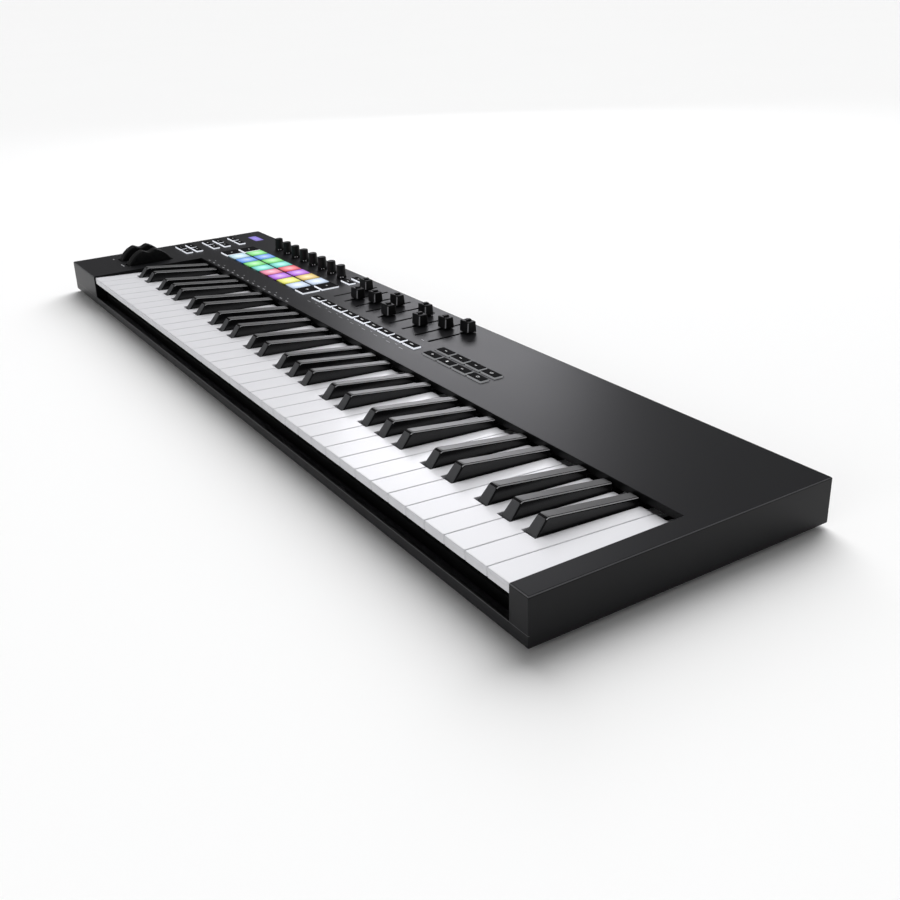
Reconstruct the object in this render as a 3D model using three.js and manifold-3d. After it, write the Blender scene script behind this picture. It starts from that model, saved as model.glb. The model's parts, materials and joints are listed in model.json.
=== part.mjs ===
// A 61-key controller keyboard: five octaves of keys and the top C, two wheels, pads, buttons, knobs and
// faders in a flat case. Millimetres. X runs along the keyboard, Y from the player to the rear, Z up.
// The origin is the middle of the footprint, on the surface that the feet stand on.
import * as THREE from 'three';
import { mergeVertices } from 'three/addons/utils/BufferGeometryUtils.js';
import Module from 'manifold-3d';

const wasm = await Module();
wasm.setup();

// Case
const CASE_WIDTH = 959;
const CASE_DEPTH = 257;
const CASE_HEIGHT = 35.5;
const FOOT_HEIGHT = 3;
const WALL = 2.5;
const PANEL_THICKNESS = 2.8;
const EDGE_BEVEL = 0.8;
const SILL_HEIGHT = 9.4;
const LIP_DROP = 3.2;
const COVER_THICKNESS = 2.5;
const GAP = 0.3;
const GRID_PER_MM = 512;

const CASE_LEFT = -CASE_WIDTH / 2;
const CASE_RIGHT = CASE_WIDTH / 2;
const PANEL_TOP = FOOT_HEIGHT + CASE_HEIGHT;
const PANEL_UNDER = PANEL_TOP - PANEL_THICKNESS;
const FLOOR_TOP = FOOT_HEIGHT + COVER_THICKNESS;

// Keys. Every Y from here on is measured from the front face of the case.
const WHITE_PITCH = 23.5;
const WHITES_PER_OCTAVE = 7;
const OCTAVE_COUNT = 5;
const OCTAVE = WHITE_PITCH * WHITES_PER_OCTAVE;
const KEYBED_WIDTH = WHITE_PITCH * (WHITES_PER_OCTAVE * OCTAVE_COUNT + 1);
const KEYBED_CENTRE = 37.2;
const KEYBED_LEFT = KEYBED_CENTRE - KEYBED_WIDTH / 2;
const KEYBED_RIGHT = KEYBED_CENTRE + KEYBED_WIDTH / 2;
const KEYBED_SIDE_GAP = 0.8;
const OPENING_DEPTH = 137.7;
const KEY_GAP = 0.9;
const KEY_FRONT = 1.5;
const KEY_HEAD_END = 48.5;
const KEY_PLATEAU_END = 135.8;
const KEY_TOP = PANEL_TOP - 1.6;
const KEY_SLOPE = 0.05;
const KEY_LIP = 7.3;
const BLACK_NOTCH = 13;
const BLACK_WIDTH = 11.2;
const BLACK_TOP_WIDTH = 9;
const BLACK_CROWN = { front: 44.6, rear: 35.5 };
const CROWN_START = KEY_HEAD_END + 11.9;
const SHARP_REAR = 137;
const NECK_WIDTH = 9.6;
const BLACK_NECK_WIDTH = 8;
const NECK_START = 118;
const NECK_TOP = 27.2;
const SPINE_FRONT = 152;
const SPINE_REAR = 159;
const SPINE_THICKNESS = 2.2;
const SPINE_LEVELS = { naturals_outer: 22.3, naturals_inner: 25.5, sharps: 28.4 };

// Controls
const WHEEL_RADIUS = 30;
const WHEEL_WIDTH = 13;
const WHEEL_CENTRES = { pitch_wheel: -444.8, mod_wheel: -413.8 };
const WHEEL_Y = 78.5;
const WHEEL_Z = 25.5;
const WHEEL_SPAN_DEG = 98;
const WHEEL_SLOT_WIDTH = 16;
const WHEEL_SLOT_REACH = 29;
const AXLE_RADIUS = 2;
const AXLE_PLAY = 0.3;

const BUTTON_TOP = PANEL_TOP + 1.3;
const BUTTON_CLEARANCE = 0.45;
const MAT_BOTTOM = 33.2;
const MAT_TOP = 34.4;

const LEFT_BLOCK_X = -442.6;
const LEFT_BLOCK_PITCH = 23.4;
const SMALL_BUTTON = [21.4, 8.6];

const PAD_CENTRE_X = -273.3;
const PAD_PITCH = 24.47;
const PAD_COUNT = 8;
const PAD_SIZE = [23.2, 21.7];
const PAD_TOP = PANEL_TOP + 1.5;
const PAD_ROWS = { front: 177.75, rear: 201.75 };
const SIDE_BUTTON = [21.8, 21.4];
const PAD_WINDOW_EDGE = 0.8;

const KNOB_COUNT = 8;
const KNOB_Y = 234;
const KNOB_BASE_RADIUS = 5.7;
const KNOB_TOP_RADIUS = 5;
const KNOB_HEIGHT = 14.4;
const KNOB_SHAFT_RADIUS = 3;
const KNOB_SIDES = 18;

const FADER_COUNT = 9;
const FADER_PITCH = 24.3;
const FADER_CENTRE_X = -26.8;
const FADER_SLOT = [191, 245];
const FADER_SLOT_WIDTH = 3;
const FADER_STEM = [1.3, 5];
const FADER_CAP_WIDTH = 14.2;
const FADER_REST_Y = [232, 208, 216, 229, 204, 234, 212, 227, 237];
const FADER_BUTTON_Y = 172.6;

const TRANSPORT_X = 143.6;
const TRANSPORT_PITCH = 24.2;
const TRANSPORT_ROWS = [172.8, 187.4];
const TRANSPORT_BUTTON = [21.8, 9.6];

const DISPLAY_CENTRE = [-439.5, 235.6];
const DISPLAY_SIZE = [28.4, 11.4];

const CONTROL_BOARD_TOP = 29.5;
const BOARD_THICKNESS = 1.6;
const SOCKET_X = { usb: -350, midi: -312, pedal: -274 };
const SOCKET_Z = 17;
const MAIN_BOARD_TOP = 9.8;

// ---- geometry helpers -------------------------------------------------------------------------------

// Puts every vertex on a fine grid first, so that faces meant to be flush are exactly flush.
function toSolid(geometry) {
  const bare = geometry.clone();
  bare.deleteAttribute('normal');
  bare.deleteAttribute('uv');
  const positions = bare.attributes.position;
  positions.array.set(positions.array.map((value) => Math.round(value * GRID_PER_MM) / GRID_PER_MM));
  const merged = mergeVertices(bare, 1e-4);
  return new wasm.Manifold(new wasm.Mesh({
    numProp: 3,
    vertProperties: merged.attributes.position.array,
    triVerts: merged.index.array,
  }));
}

function toGeometry(solid) {
  const mesh = solid.getMesh();
  const geometry = new THREE.BufferGeometry();
  geometry.setAttribute('position', new THREE.BufferAttribute(mesh.vertProperties, 3));
  geometry.setIndex(new THREE.BufferAttribute(mesh.triVerts, 1));
  return geometry;
}

function joined(geometries) {
  return geometries.map(toSolid).reduce((sum, solid) => sum.add(solid));
}

function cut(solid, geometries) {
  return geometries.map(toSolid).reduce((rest, tool) => rest.subtract(tool), solid);
}

function box([x0, x1], [y0, y1], [z0, z1]) {
  const geometry = new THREE.BoxGeometry(x1 - x0, y1 - y0, z1 - z0);
  return geometry.translate((x0 + x1) / 2, (y0 + y1) / 2, (z0 + z1) / 2);
}

function boxAt([x, y], [width, depth], [z0, z1]) {
  return box([x - width / 2, x + width / 2], [y - depth / 2, y + depth / 2], [z0, z1]);
}

function outline(points) {
  return new THREE.Shape(points.map(([a, b]) => new THREE.Vector2(a, b)));
}

// An outline in X and Y, raised from z0 to z1.
function raised(shape, [z0, z1]) {
  const geometry = new THREE.ExtrudeGeometry(shape, { depth: z1 - z0, bevelEnabled: false });
  return geometry.translate(0, 0, z0);
}

// An outline in Y and Z, drawn out along X from x0 to x1.
function drawnAlongX(shape, [x0, x1]) {
  const geometry = new THREE.ExtrudeGeometry(shape, { depth: x1 - x0, bevelEnabled: false });
  const turn = new THREE.Matrix4().set(0, 0, 1, x0, 1, 0, 0, 0, 0, 1, 0, 0, 0, 0, 0, 1);
  return geometry.applyMatrix4(turn);
}

function upright(radius, [x, y], [z0, z1], sides) {
  const geometry = new THREE.CylinderGeometry(radius, radius, z1 - z0, sides);
  return geometry.rotateX(Math.PI / 2).translate(x, y, (z0 + z1) / 2);
}

function alongY(radius, [x, z], [y0, y1], sides) {
  const geometry = new THREE.CylinderGeometry(radius, radius, y1 - y0, sides);
  return geometry.translate(x, (y0 + y1) / 2, z);
}

function alongX(radius, [y, z], [x0, x1], sides) {
  const geometry = new THREE.CylinderGeometry(radius, radius, x1 - x0, sides);
  return geometry.rotateZ(Math.PI / 2).translate((x0 + x1) / 2, y, z);
}

function spaced(count, centre, pitch) {
  return Array.from({ length: count }, (_, i) => centre + (i - (count - 1) / 2) * pitch);
}

// ---- materials --------------------------------------------------------------------------------------

function material(color, roughness, metalness = 0) {
  return new THREE.MeshStandardMaterial({ color, roughness, metalness });
}

const FINISHES = {
  case: () => material(0x333336, 0.62),
  cover: () => material(0x222224, 0.7),
  whiteKey: () => material(0xf0f0f2, 0.25),
  blackKey: () => material(0x1a1a1c, 0.4),
  rubber: () => material(0x141416, 0.8),
  rim: () => material(0xdfe3ea, 0.5),
  pad: () => material(0xbfe0d8, 0.6),
  glass: () => material(0x4a4480, 0.1),
  board: () => material(0x1e4a30, 0.55),
  steel: () => material(0x9a9da2, 0.4, 0.9),
  frame: () => material(0x2c2e31, 0.6),
};

const model = new THREE.Group();
model.position.y = -CASE_DEPTH / 2;

function place(name, finish, geometry, position = [0, 0, 0]) {
  const mesh = new THREE.Mesh(geometry, FINISHES[finish]());
  mesh.name = name;
  mesh.position.set(...position);
  model.add(mesh);
}

// ---- control layout ---------------------------------------------------------------------------------

const LEFT_COLUMNS = spaced(2, LEFT_BLOCK_X, LEFT_BLOCK_PITCH);
const PAD_COLUMNS = spaced(PAD_COUNT, PAD_CENTRE_X, PAD_PITCH);
const FADER_COLUMNS = spaced(FADER_COUNT, FADER_CENTRE_X, FADER_PITCH);
const TRANSPORT_COLUMNS = spaced(4, TRANSPORT_X, TRANSPORT_PITCH);
const SIDE_LEFT_X = PAD_COLUMNS[0] - PAD_PITCH;
const SIDE_RIGHT_X = PAD_COLUMNS[PAD_COUNT - 1] + PAD_PITCH;

function grid(columns, rows, size) {
  return rows.flatMap((y) => columns.map((x) => ({ at: [x, y], size })));
}

const SIDE_ROWS = [PAD_ROWS.front, PAD_ROWS.rear];
const BUTTON_MATS = {
  octave_button_mat: grid(LEFT_COLUMNS, [135.1, 148.8], SMALL_BUTTON),
  mode_button_mat: grid(LEFT_COLUMNS, [172.2, 187.3, 208.4], SMALL_BUTTON),
  scene_button_mat: grid([SIDE_LEFT_X], SIDE_ROWS, SIDE_BUTTON),
  launch_button_mat: [
    ...grid([SIDE_RIGHT_X], SIDE_ROWS, SIDE_BUTTON),
    ...grid([SIDE_RIGHT_X], [229.6, 243.2], SMALL_BUTTON),
  ],
  fader_button_mat: grid(FADER_COLUMNS, [FADER_BUTTON_Y], SMALL_BUTTON),
  transport_button_mat: grid(TRANSPORT_COLUMNS, TRANSPORT_ROWS, TRANSPORT_BUTTON),
};

function grown([width, depth], by) {
  return [width + 2 * by, depth + 2 * by];
}

// ---- case -------------------------------------------------------------------------------------------

const OPENING_LEFT = KEYBED_LEFT - KEYBED_SIDE_GAP;
const OPENING_RIGHT = KEYBED_RIGHT + KEYBED_SIDE_GAP;

function bevelledSlab() {
  const half = CASE_WIDTH / 2;
  const shape = outline([[-half, 0], [half, 0], [half, CASE_DEPTH], [-half, CASE_DEPTH]]);
  const geometry = new THREE.ExtrudeGeometry(shape, {
    depth: CASE_HEIGHT - 2 * EDGE_BEVEL,
    bevelThickness: EDGE_BEVEL,
    bevelSize: EDGE_BEVEL,
    bevelOffset: -EDGE_BEVEL,
    bevelSegments: 1,
  });
  return geometry.translate(0, 0, FOOT_HEIGHT + EDGE_BEVEL);
}

function caseHollow() {
  const room = box([CASE_LEFT + WALL, CASE_RIGHT - WALL], [WALL, CASE_DEPTH - WALL], [0, PANEL_UNDER]);
  const wallHeights = [FLOOR_TOP + GAP, PANEL_UNDER + 1];
  const cheekDepth = [WALL - 1, OPENING_DEPTH + WALL];
  const leftCheek = box([OPENING_LEFT - WALL, OPENING_LEFT], cheekDepth, wallHeights);
  const rightCheek = box([OPENING_RIGHT, OPENING_RIGHT + WALL], cheekDepth, wallHeights);
  const lip = box(
    [OPENING_LEFT - WALL, OPENING_RIGHT + WALL],
    [OPENING_DEPTH, OPENING_DEPTH + WALL],
    [PANEL_UNDER - LIP_DROP, PANEL_UNDER + 1],
  );
  return cut(toSolid(room), [leftCheek, rightCheek, lip]);
}

function panelHoles() {
  const through = [PANEL_UNDER - 1, PANEL_TOP + 1];
  const padWindow = boxAt(
    [PAD_CENTRE_X, (PAD_ROWS.front + PAD_ROWS.rear) / 2],
    grown([PAD_PITCH * PAD_COUNT - (PAD_PITCH - PAD_SIZE[0]), PAD_ROWS.rear - PAD_ROWS.front + PAD_SIZE[1]],
      PAD_WINDOW_EDGE),
    through,
  );
  const wheelSlots = Object.values(WHEEL_CENTRES).map((x) => boxAt(
    [x, WHEEL_Y], [WHEEL_SLOT_WIDTH, 2 * WHEEL_SLOT_REACH], through));
  const buttonHoles = Object.values(BUTTON_MATS).flat().map(({ at, size }) => boxAt(
    at, grown(size, BUTTON_CLEARANCE), through));
  const knobHoles = PAD_COLUMNS.map((x) => upright(KNOB_SHAFT_RADIUS + 0.8, [x, KNOB_Y], through, 12));
  const slots = FADER_COLUMNS.map((x) => box(
    [x - FADER_SLOT_WIDTH / 2, x + FADER_SLOT_WIDTH / 2], FADER_SLOT, through));
  const displayHole = boxAt(DISPLAY_CENTRE, grown(DISPLAY_SIZE, GAP), through);
  return [padWindow, displayHole, ...wheelSlots, ...buttonHoles, ...knobHoles, ...slots];
}

const SOCKET_FACES = { usb: [12.4, 11.4], midi: [19, 19], pedal: [13, 13] };

function rearHoles() {
  const depth = [CASE_DEPTH - WALL - 1, CASE_DEPTH + 1];
  return Object.entries(SOCKET_FACES).map(([kind, [width, height]]) => box(
    [SOCKET_X[kind] - width / 2 - GAP, SOCKET_X[kind] + width / 2 + GAP],
    depth,
    [SOCKET_Z - height / 2 - GAP, SOCKET_Z + height / 2 + GAP],
  ));
}

function makeCaseShell() {
  const opening = box([OPENING_LEFT, OPENING_RIGHT], [-1, OPENING_DEPTH],
    [FOOT_HEIGHT + SILL_HEIGHT, PANEL_TOP + 1]);
  const shell = cut(toSolid(bevelledSlab()).subtract(caseHollow()), [opening]);
  place('case_shell', 'case', toGeometry(cut(shell, [...panelHoles(), ...rearHoles()])));
}

function makeBottomCover() {
  const inset = WALL + GAP;
  const xs = [CASE_LEFT + inset, CASE_RIGHT - inset];
  const plate = box(xs, [inset, CASE_DEPTH - inset], [FOOT_HEIGHT, FLOOR_TOP]);
  const ribs = [172, 182].map((y) => box(
    [xs[0] + 6, xs[1] - 6], [y, y + 2], [FLOOR_TOP - 0.5, FLOOR_TOP + 5]));
  place('bottom_cover', 'cover', toGeometry(joined([plate, ...ribs])));
}

function footGeometry() {
  const profile = [[0, 0], [7.4, 0], [8.6, 1], [9, FOOT_HEIGHT - 0.1], [0, FOOT_HEIGHT - 0.1]];
  const points = profile.map(([r, z]) => new THREE.Vector2(r, z));
  return new THREE.LatheGeometry(points, 20).rotateX(Math.PI / 2);
}

function makeFeet() {
  const corners = {
    foot_front_left: [-446, 22],
    foot_front_right: [446, 22],
    foot_rear_left: [-446, 235],
    foot_rear_right: [446, 235],
  };
  for (const [name, [x, y]] of Object.entries(corners)) {
    place(name, 'rubber', footGeometry(), [x, y, 0]);
  }
}

// ---- keys -------------------------------------------------------------------------------------------

// Widths of the white keys' tails: three share C to E with two sharps, four share F to B with three.
const TAIL_C_TO_E = (3 * WHITE_PITCH - 2 * BLACK_NOTCH) / 3;
const TAIL_F_TO_B = (4 * WHITE_PITCH - 3 * BLACK_NOTCH) / 4;

// [left, right] of each tail and notch along the octave, from its first edge.
function octaveSpans() {
  const tails = [];
  const notches = [];
  let x = 0;
  for (let i = 0; i < WHITES_PER_OCTAVE; i += 1) {
    const tail = i < 3 ? TAIL_C_TO_E : TAIL_F_TO_B;
    tails.push([x, x + tail]);
    x += tail;
    if (i !== 2 && i !== WHITES_PER_OCTAVE - 1) {
      notches.push([x, x + BLACK_NOTCH]);
      x += BLACK_NOTCH;
    }
  }
  return { tails, notches };
}

const SPANS = octaveSpans();
const half = KEY_GAP / 2;

// The height of the white keys' sloping top at depth y.
function whiteTop(y) {
  return KEY_TOP - KEY_SLOPE * (y - KEY_FRONT);
}

// Leans an upright slab back along the white keys' slope.
function leaned(geometry) {
  const positions = geometry.attributes.position;
  for (let i = 0; i < positions.count; i += 1) {
    positions.setZ(i, positions.getZ(i) + whiteTop(positions.getY(i)) - KEY_TOP);
  }
  return geometry;
}

// The underside neck that carries a white key back to its spine, as an outline in Y and Z.
function neckOutline(level) {
  return outline([
    [NECK_START, whiteTop(NECK_START) - KEY_LIP + 0.4],
    [KEY_PLATEAU_END, whiteTop(KEY_PLATEAU_END) - KEY_LIP + 0.4],
    [SPINE_FRONT - 3, level],
    [SPINE_REAR, level],
    [SPINE_REAR, level + SPINE_THICKNESS],
    [SPINE_FRONT - 1, level + SPINE_THICKNESS],
    [138, NECK_TOP],
    [NECK_START, NECK_TOP],
  ]);
}

function whiteKey(left, [tailLeft, tailRight], level) {
  const right = left + WHITE_PITCH;
  const plan = outline([
    [left + half, KEY_FRONT],
    [right - half, KEY_FRONT],
    [right - half, KEY_HEAD_END],
    [tailRight - half, KEY_HEAD_END],
    [tailRight - half, KEY_PLATEAU_END],
    [tailLeft + half, KEY_PLATEAU_END],
    [tailLeft + half, KEY_HEAD_END],
    [left + half, KEY_HEAD_END],
  ].filter(([x, y], i, all) => i === 0 || x !== all[i - 1][0] || y !== all[i - 1][1]));
  const middle = (tailLeft + tailRight) / 2;
  const neck = drawnAlongX(neckOutline(level), [middle - NECK_WIDTH / 2, middle + NECK_WIDTH / 2]);
  return [leaned(raised(plan, [KEY_TOP - KEY_LIP, KEY_TOP])), neck];
}

function spine([left, right], level) {
  return box([left, right], [SPINE_FRONT, SPINE_REAR], [level, level + SPINE_THICKNESS]);
}

function naturalsComb(octaveLeft, indices, level) {
  const keys = indices.flatMap((i) => whiteKey(
    octaveLeft + i * WHITE_PITCH, SPANS.tails[i].map((x) => octaveLeft + x), level));
  const first = SPANS.tails[indices[0]];
  const last = SPANS.tails[indices[indices.length - 1]];
  const ends = [octaveLeft + first[0] + 2, octaveLeft + last[1] - 2];
  return toGeometry(joined([...keys, spine(ends, level)]));
}

// A sharp's side outline: slanted front, rounded crown, a top that falls to the rear and a steep drop there.
function sharpOutline(level) {
  const foot = KEY_HEAD_END + 1.2;
  const { front, rear } = BLACK_CROWN;
  return outline([
    [foot, whiteTop(foot) - KEY_LIP],
    [SHARP_REAR - 15, whiteTop(SHARP_REAR - 15) - KEY_LIP],
    [SPINE_FRONT - 3, level],
    [SPINE_REAR, level],
    [SPINE_REAR, level + SPINE_THICKNESS],
    [SHARP_REAR + 0.4, level + SPINE_THICKNESS],
    [SHARP_REAR, rear],
    [CROWN_START, front],
    [foot + 8.6, front - 0.5],
    [foot + 7.2, front - 2],
    [foot + 0.6, whiteTop(foot) - 0.5],
    [foot, whiteTop(foot) - 1.5],
  ]);
}

// The height of the sharps' falling crown at depth y.
function crownTop(y) {
  const { front, rear } = BLACK_CROWN;
  return THREE.MathUtils.mapLinear(Math.max(y, CROWN_START), CROWN_START, SHARP_REAR, front, rear);
}

// Draws the sharp out along X and narrows it towards its crown; behind the drop it narrows to its neck.
function sharpKey(middle, level) {
  const width = BLACK_WIDTH / 2;
  const geometry = drawnAlongX(sharpOutline(level), [-width, width]);
  const positions = geometry.attributes.position;
  for (let i = 0; i < positions.count; i += 1) {
    const y = positions.getY(i);
    const rise = THREE.MathUtils.clamp((positions.getZ(i) - whiteTop(y)) / (crownTop(y) - whiteTop(y)), 0, 1);
    const reach = y > SHARP_REAR ? BLACK_NECK_WIDTH / 2 : THREE.MathUtils.lerp(width, BLACK_TOP_WIDTH / 2, rise);
    positions.setX(i, middle + Math.sign(positions.getX(i)) * reach);
  }
  return geometry;
}

function sharpsComb(octaveLeft, level) {
  const middles = SPANS.notches.map(([a, b]) => octaveLeft + (a + b) / 2);
  const ends = [middles[0] - BLACK_NECK_WIDTH / 2, middles[4] + BLACK_NECK_WIDTH / 2];
  return toGeometry(joined([...middles.map((x) => sharpKey(x, level)), spine(ends, level)]));
}

function makeKeys() {
  for (let octave = 0; octave < OCTAVE_COUNT; octave += 1) {
    const left = KEYBED_LEFT + octave * OCTAVE;
    const tag = octave + 1;
    place(`naturals_cegb_${tag}`, 'whiteKey', naturalsComb(left, [0, 2, 4, 6], SPINE_LEVELS.naturals_outer));
    place(`naturals_dfa_${tag}`, 'whiteKey', naturalsComb(left, [1, 3, 5], SPINE_LEVELS.naturals_inner));
    place(`sharps_${tag}`, 'blackKey', sharpsComb(left, SPINE_LEVELS.sharps));
  }
  const topLeft = KEYBED_LEFT + OCTAVE_COUNT * OCTAVE;
  const topSpan = [topLeft, topLeft + WHITE_PITCH];
  const topKey = whiteKey(topLeft, topSpan, SPINE_LEVELS.naturals_outer);
  const topSpine = spine([topLeft + 2, topLeft + WHITE_PITCH - 2], SPINE_LEVELS.naturals_outer);
  place('natural_top_c', 'whiteKey', toGeometry(joined([...topKey, topSpine])));
}

// ---- inside -----------------------------------------------------------------------------------------

function makeKeybed() {
  const xs = [KEYBED_LEFT + 0.5, KEYBED_RIGHT - 0.5];
  const base = box(xs, [12, 165], [FLOOR_TOP + 0.8, FLOOR_TOP + 2.8]);
  const rails = [
    { y: [12, 22], top: 15.5 },
    { y: [60, 64], top: 11.8 },
    { y: [100, 104], top: 11.8 },
    { y: [160, 165], top: 31 },
  ].map(({ y, top }) => box(xs, y, [FLOOR_TOP + 2, top]));
  place('keybed_frame', 'frame', toGeometry(joined([base, ...rails])));

  const boardTop = 11.8 + GAP + BOARD_THICKNESS;
  place('key_contact_board', 'board', box([xs[0] + 2, xs[1] - 2], [56, 108], [11.8 + GAP, boardTop]));
  const strip = outline([[70, boardTop + GAP], [88, boardTop + GAP], [86, 17], [82, 19.5], [76, 19.5], [72, 17]]);
  place('contact_rubber', 'rubber', drawnAlongX(strip, [xs[0] + 3, xs[1] - 3]));
}

function makeBoards() {
  const controlXs = [-470, 196];
  const boardBottom = CONTROL_BOARD_TOP - BOARD_THICKNESS;
  const plate = box([-400, controlXs[1]], [167.5, 250], [boardBottom, CONTROL_BOARD_TOP]);
  const leftPlate = box([controlXs[0], -399], [122, 250], [boardBottom, CONTROL_BOARD_TOP]);
  const knobPots = PAD_COLUMNS.map((x) => boxAt([x, KNOB_Y], [9.5, 11], [CONTROL_BOARD_TOP - 0.5, 30.6]));
  const faderTracks = FADER_COLUMNS.map((x) => box(
    [x - 4, x + 4], [FADER_SLOT[0] - 5, FADER_SLOT[1] + 4.5], [CONTROL_BOARD_TOP - 0.5, 31.8]));
  place('control_board', 'board', toGeometry(joined([plate, leftPlate, ...knobPots, ...faderTracks])));
  place('main_board', 'board', box([-400, -220], [190, 235], [MAIN_BOARD_TOP - BOARD_THICKNESS, MAIN_BOARD_TOP]));
}

function makeDisplay() {
  place('display_window', 'glass', boxAt(DISPLAY_CENTRE, DISPLAY_SIZE, [PANEL_UNDER + 0.8, PANEL_TOP - 0.2]));
  place('display_module', 'frame', boxAt(DISPLAY_CENTRE, grown(DISPLAY_SIZE, 2.5), [31, PANEL_UNDER - GAP]));
}

function makeWheelBracket() {
  const { pitch_wheel: far, mod_wheel: near } = WHEEL_CENTRES;
  const ys = [WHEEL_Y - 36.5, WHEEL_Y + 36.5];
  const zs = [FLOOR_TOP + 0.8, 31];
  const plateGap = WHEEL_WIDTH / 2 + 3.5;
  const plates = [far - plateGap, (far + near) / 2, near + plateGap].map((x) => box(
    [x - 1, x + 1], ys, zs));
  const xs = [far - plateGap - 1, near + plateGap + 1];
  const bars = [ys[0] + 1.5, ys[1] - 1.5].map((y) => box(xs, [y - 1.5, y + 1.5], zs));
  const axle = alongX(AXLE_RADIUS, [WHEEL_Y, WHEEL_Z], xs, 12);
  place('wheel_bracket', 'steel', toGeometry(joined([...plates, ...bars, axle])));
}

// ---- wheels -----------------------------------------------------------------------------------------

const NOTCH_HALF_DEG = 17;
const NOTCH_FLOOR = 3.6;
const HUB_RADIUS = 9;

// Angle 0 points up and positive angles lean towards the rear.
function onWheel(radius, degrees) {
  const angle = THREE.MathUtils.degToRad(degrees);
  return [Math.sin(angle) * radius, Math.cos(angle) * radius];
}

function arc(radius, from, to, steps) {
  return Array.from({ length: steps + 1 }, (_, i) => onWheel(radius, from + ((to - from) * i) / steps));
}

function makeWheels() {
  const rim = [
    ...arc(WHEEL_RADIUS, -WHEEL_SPAN_DEG, -NOTCH_HALF_DEG, 14),
    ...arc(WHEEL_RADIUS - NOTCH_FLOOR, -NOTCH_HALF_DEG / 3, NOTCH_HALF_DEG / 3, 2),
    ...arc(WHEEL_RADIUS, NOTCH_HALF_DEG, WHEEL_SPAN_DEG, 14),
    ...arc(HUB_RADIUS, 130, 230, 4),
  ];
  const disc = toSolid(drawnAlongX(outline(rim), [-WHEEL_WIDTH / 2, WHEEL_WIDTH / 2]));
  const axleHole = alongX(AXLE_RADIUS + AXLE_PLAY, [0, 0], [-WHEEL_WIDTH, WHEEL_WIDTH], 16);
  for (const [name, x] of Object.entries(WHEEL_CENTRES)) {
    place(name, 'rubber', toGeometry(cut(disc, [axleHole])), [x, WHEEL_Y, WHEEL_Z]);
  }
}

// ---- pads, buttons, knobs, faders -------------------------------------------------------------------

function extent(items, axis) {
  const low = Math.min(...items.map(({ at, size }) => at[axis] - size[axis] / 2));
  const high = Math.max(...items.map(({ at, size }) => at[axis] + size[axis] / 2));
  return [low, high];
}

function matGeometry(items, top) {
  const web = box(extent(items, 0), extent(items, 1), [MAT_BOTTOM, MAT_TOP]);
  const caps = items.map(({ at, size }) => boxAt(at, size, [MAT_TOP - 0.5, top]));
  return toGeometry(joined([web, ...caps]));
}

function makePadsAndButtons() {
  for (const [row, y] of Object.entries(PAD_ROWS)) {
    place(`pads_${row}`, 'pad', matGeometry(grid(PAD_COLUMNS, [y], PAD_SIZE), PAD_TOP));
  }
  for (const [name, items] of Object.entries(BUTTON_MATS)) {
    place(name, 'rim', matGeometry(items, BUTTON_TOP));
  }
}

function makeKnobs() {
  const base = PANEL_TOP + 0.5;
  const profile = [
    [0, 31],
    [KNOB_SHAFT_RADIUS, 31],
    [KNOB_SHAFT_RADIUS, base],
    [KNOB_BASE_RADIUS, base],
    [KNOB_BASE_RADIUS, base + 1.6],
    [KNOB_TOP_RADIUS + 0.2, base + 2.2],
    [KNOB_TOP_RADIUS, base + KNOB_HEIGHT - 0.8],
    [KNOB_TOP_RADIUS - 0.8, base + KNOB_HEIGHT],
    [0, base + KNOB_HEIGHT],
  ].map(([r, z]) => new THREE.Vector2(r, z));
  PAD_COLUMNS.forEach((x, i) => {
    const geometry = new THREE.LatheGeometry(profile, KNOB_SIDES).rotateX(Math.PI / 2);
    place(`knob_${i + 1}`, 'rubber', geometry, [x, KNOB_Y, 0]);
  });
}

// A fader cap's side outline about its middle: two crests with a finger saddle between them.
function capOutline() {
  const front = [[-5.4, 0], [-5.4, 1.4], [-4.7, 11.6], [-3.8, 12.6], [-2.6, 12.1], [-1.3, 10.3]];
  const rear = front.map(([y, z]) => [-y, z]).reverse();
  return outline([...front, ...rear]);
}

function makeFaders() {
  const base = PANEL_TOP + 0.8;
  FADER_COLUMNS.forEach((x, i) => {
    const cap = drawnAlongX(capOutline(), [-FADER_CAP_WIDTH / 2, FADER_CAP_WIDTH / 2]).translate(0, 0, base);
    const stem = boxAt([0, 0], FADER_STEM, [32.2, base + 1]);
    place(`fader_${i + 1}`, 'rubber', toGeometry(joined([cap, stem])), [x, FADER_REST_Y[i], 0]);
  });
}

// ---- sockets ----------------------------------------------------------------------------------------

const SOCKET_REAR = CASE_DEPTH - 0.3;

function makeSockets() {
  const usb = box([SOCKET_X.usb - 6.2, SOCKET_X.usb + 6.2], [240, SOCKET_REAR], [SOCKET_Z - 5.7, SOCKET_Z + 5.7]);
  const usbMouth = box([SOCKET_X.usb - 4.4, SOCKET_X.usb + 4.4], [244, CASE_DEPTH + 1],
    [SOCKET_Z - 4, SOCKET_Z + 4]);
  place('usb_socket', 'steel', toGeometry(cut(toSolid(usb), [usbMouth])));

  const midi = box([SOCKET_X.midi - 9.5, SOCKET_X.midi + 9.5], [238, SOCKET_REAR],
    [SOCKET_Z - 9.4, SOCKET_Z + 9.4]);
  const midiMouth = alongY(7.6, [SOCKET_X.midi, SOCKET_Z], [247, CASE_DEPTH + 1], 20);
  place('midi_socket', 'frame', toGeometry(cut(toSolid(midi), [midiMouth])));

  const pedal = box([SOCKET_X.pedal - 6.5, SOCKET_X.pedal + 6.5], [222, SOCKET_REAR],
    [SOCKET_Z - 6.5, SOCKET_Z + 6.5]);
  const bore = alongY(3.3, [SOCKET_X.pedal, SOCKET_Z], [226, CASE_DEPTH + 1], 16);
  place('pedal_socket', 'frame', toGeometry(cut(toSolid(pedal), [bore])));
}

// ---- assembly ---------------------------------------------------------------------------------------

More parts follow.
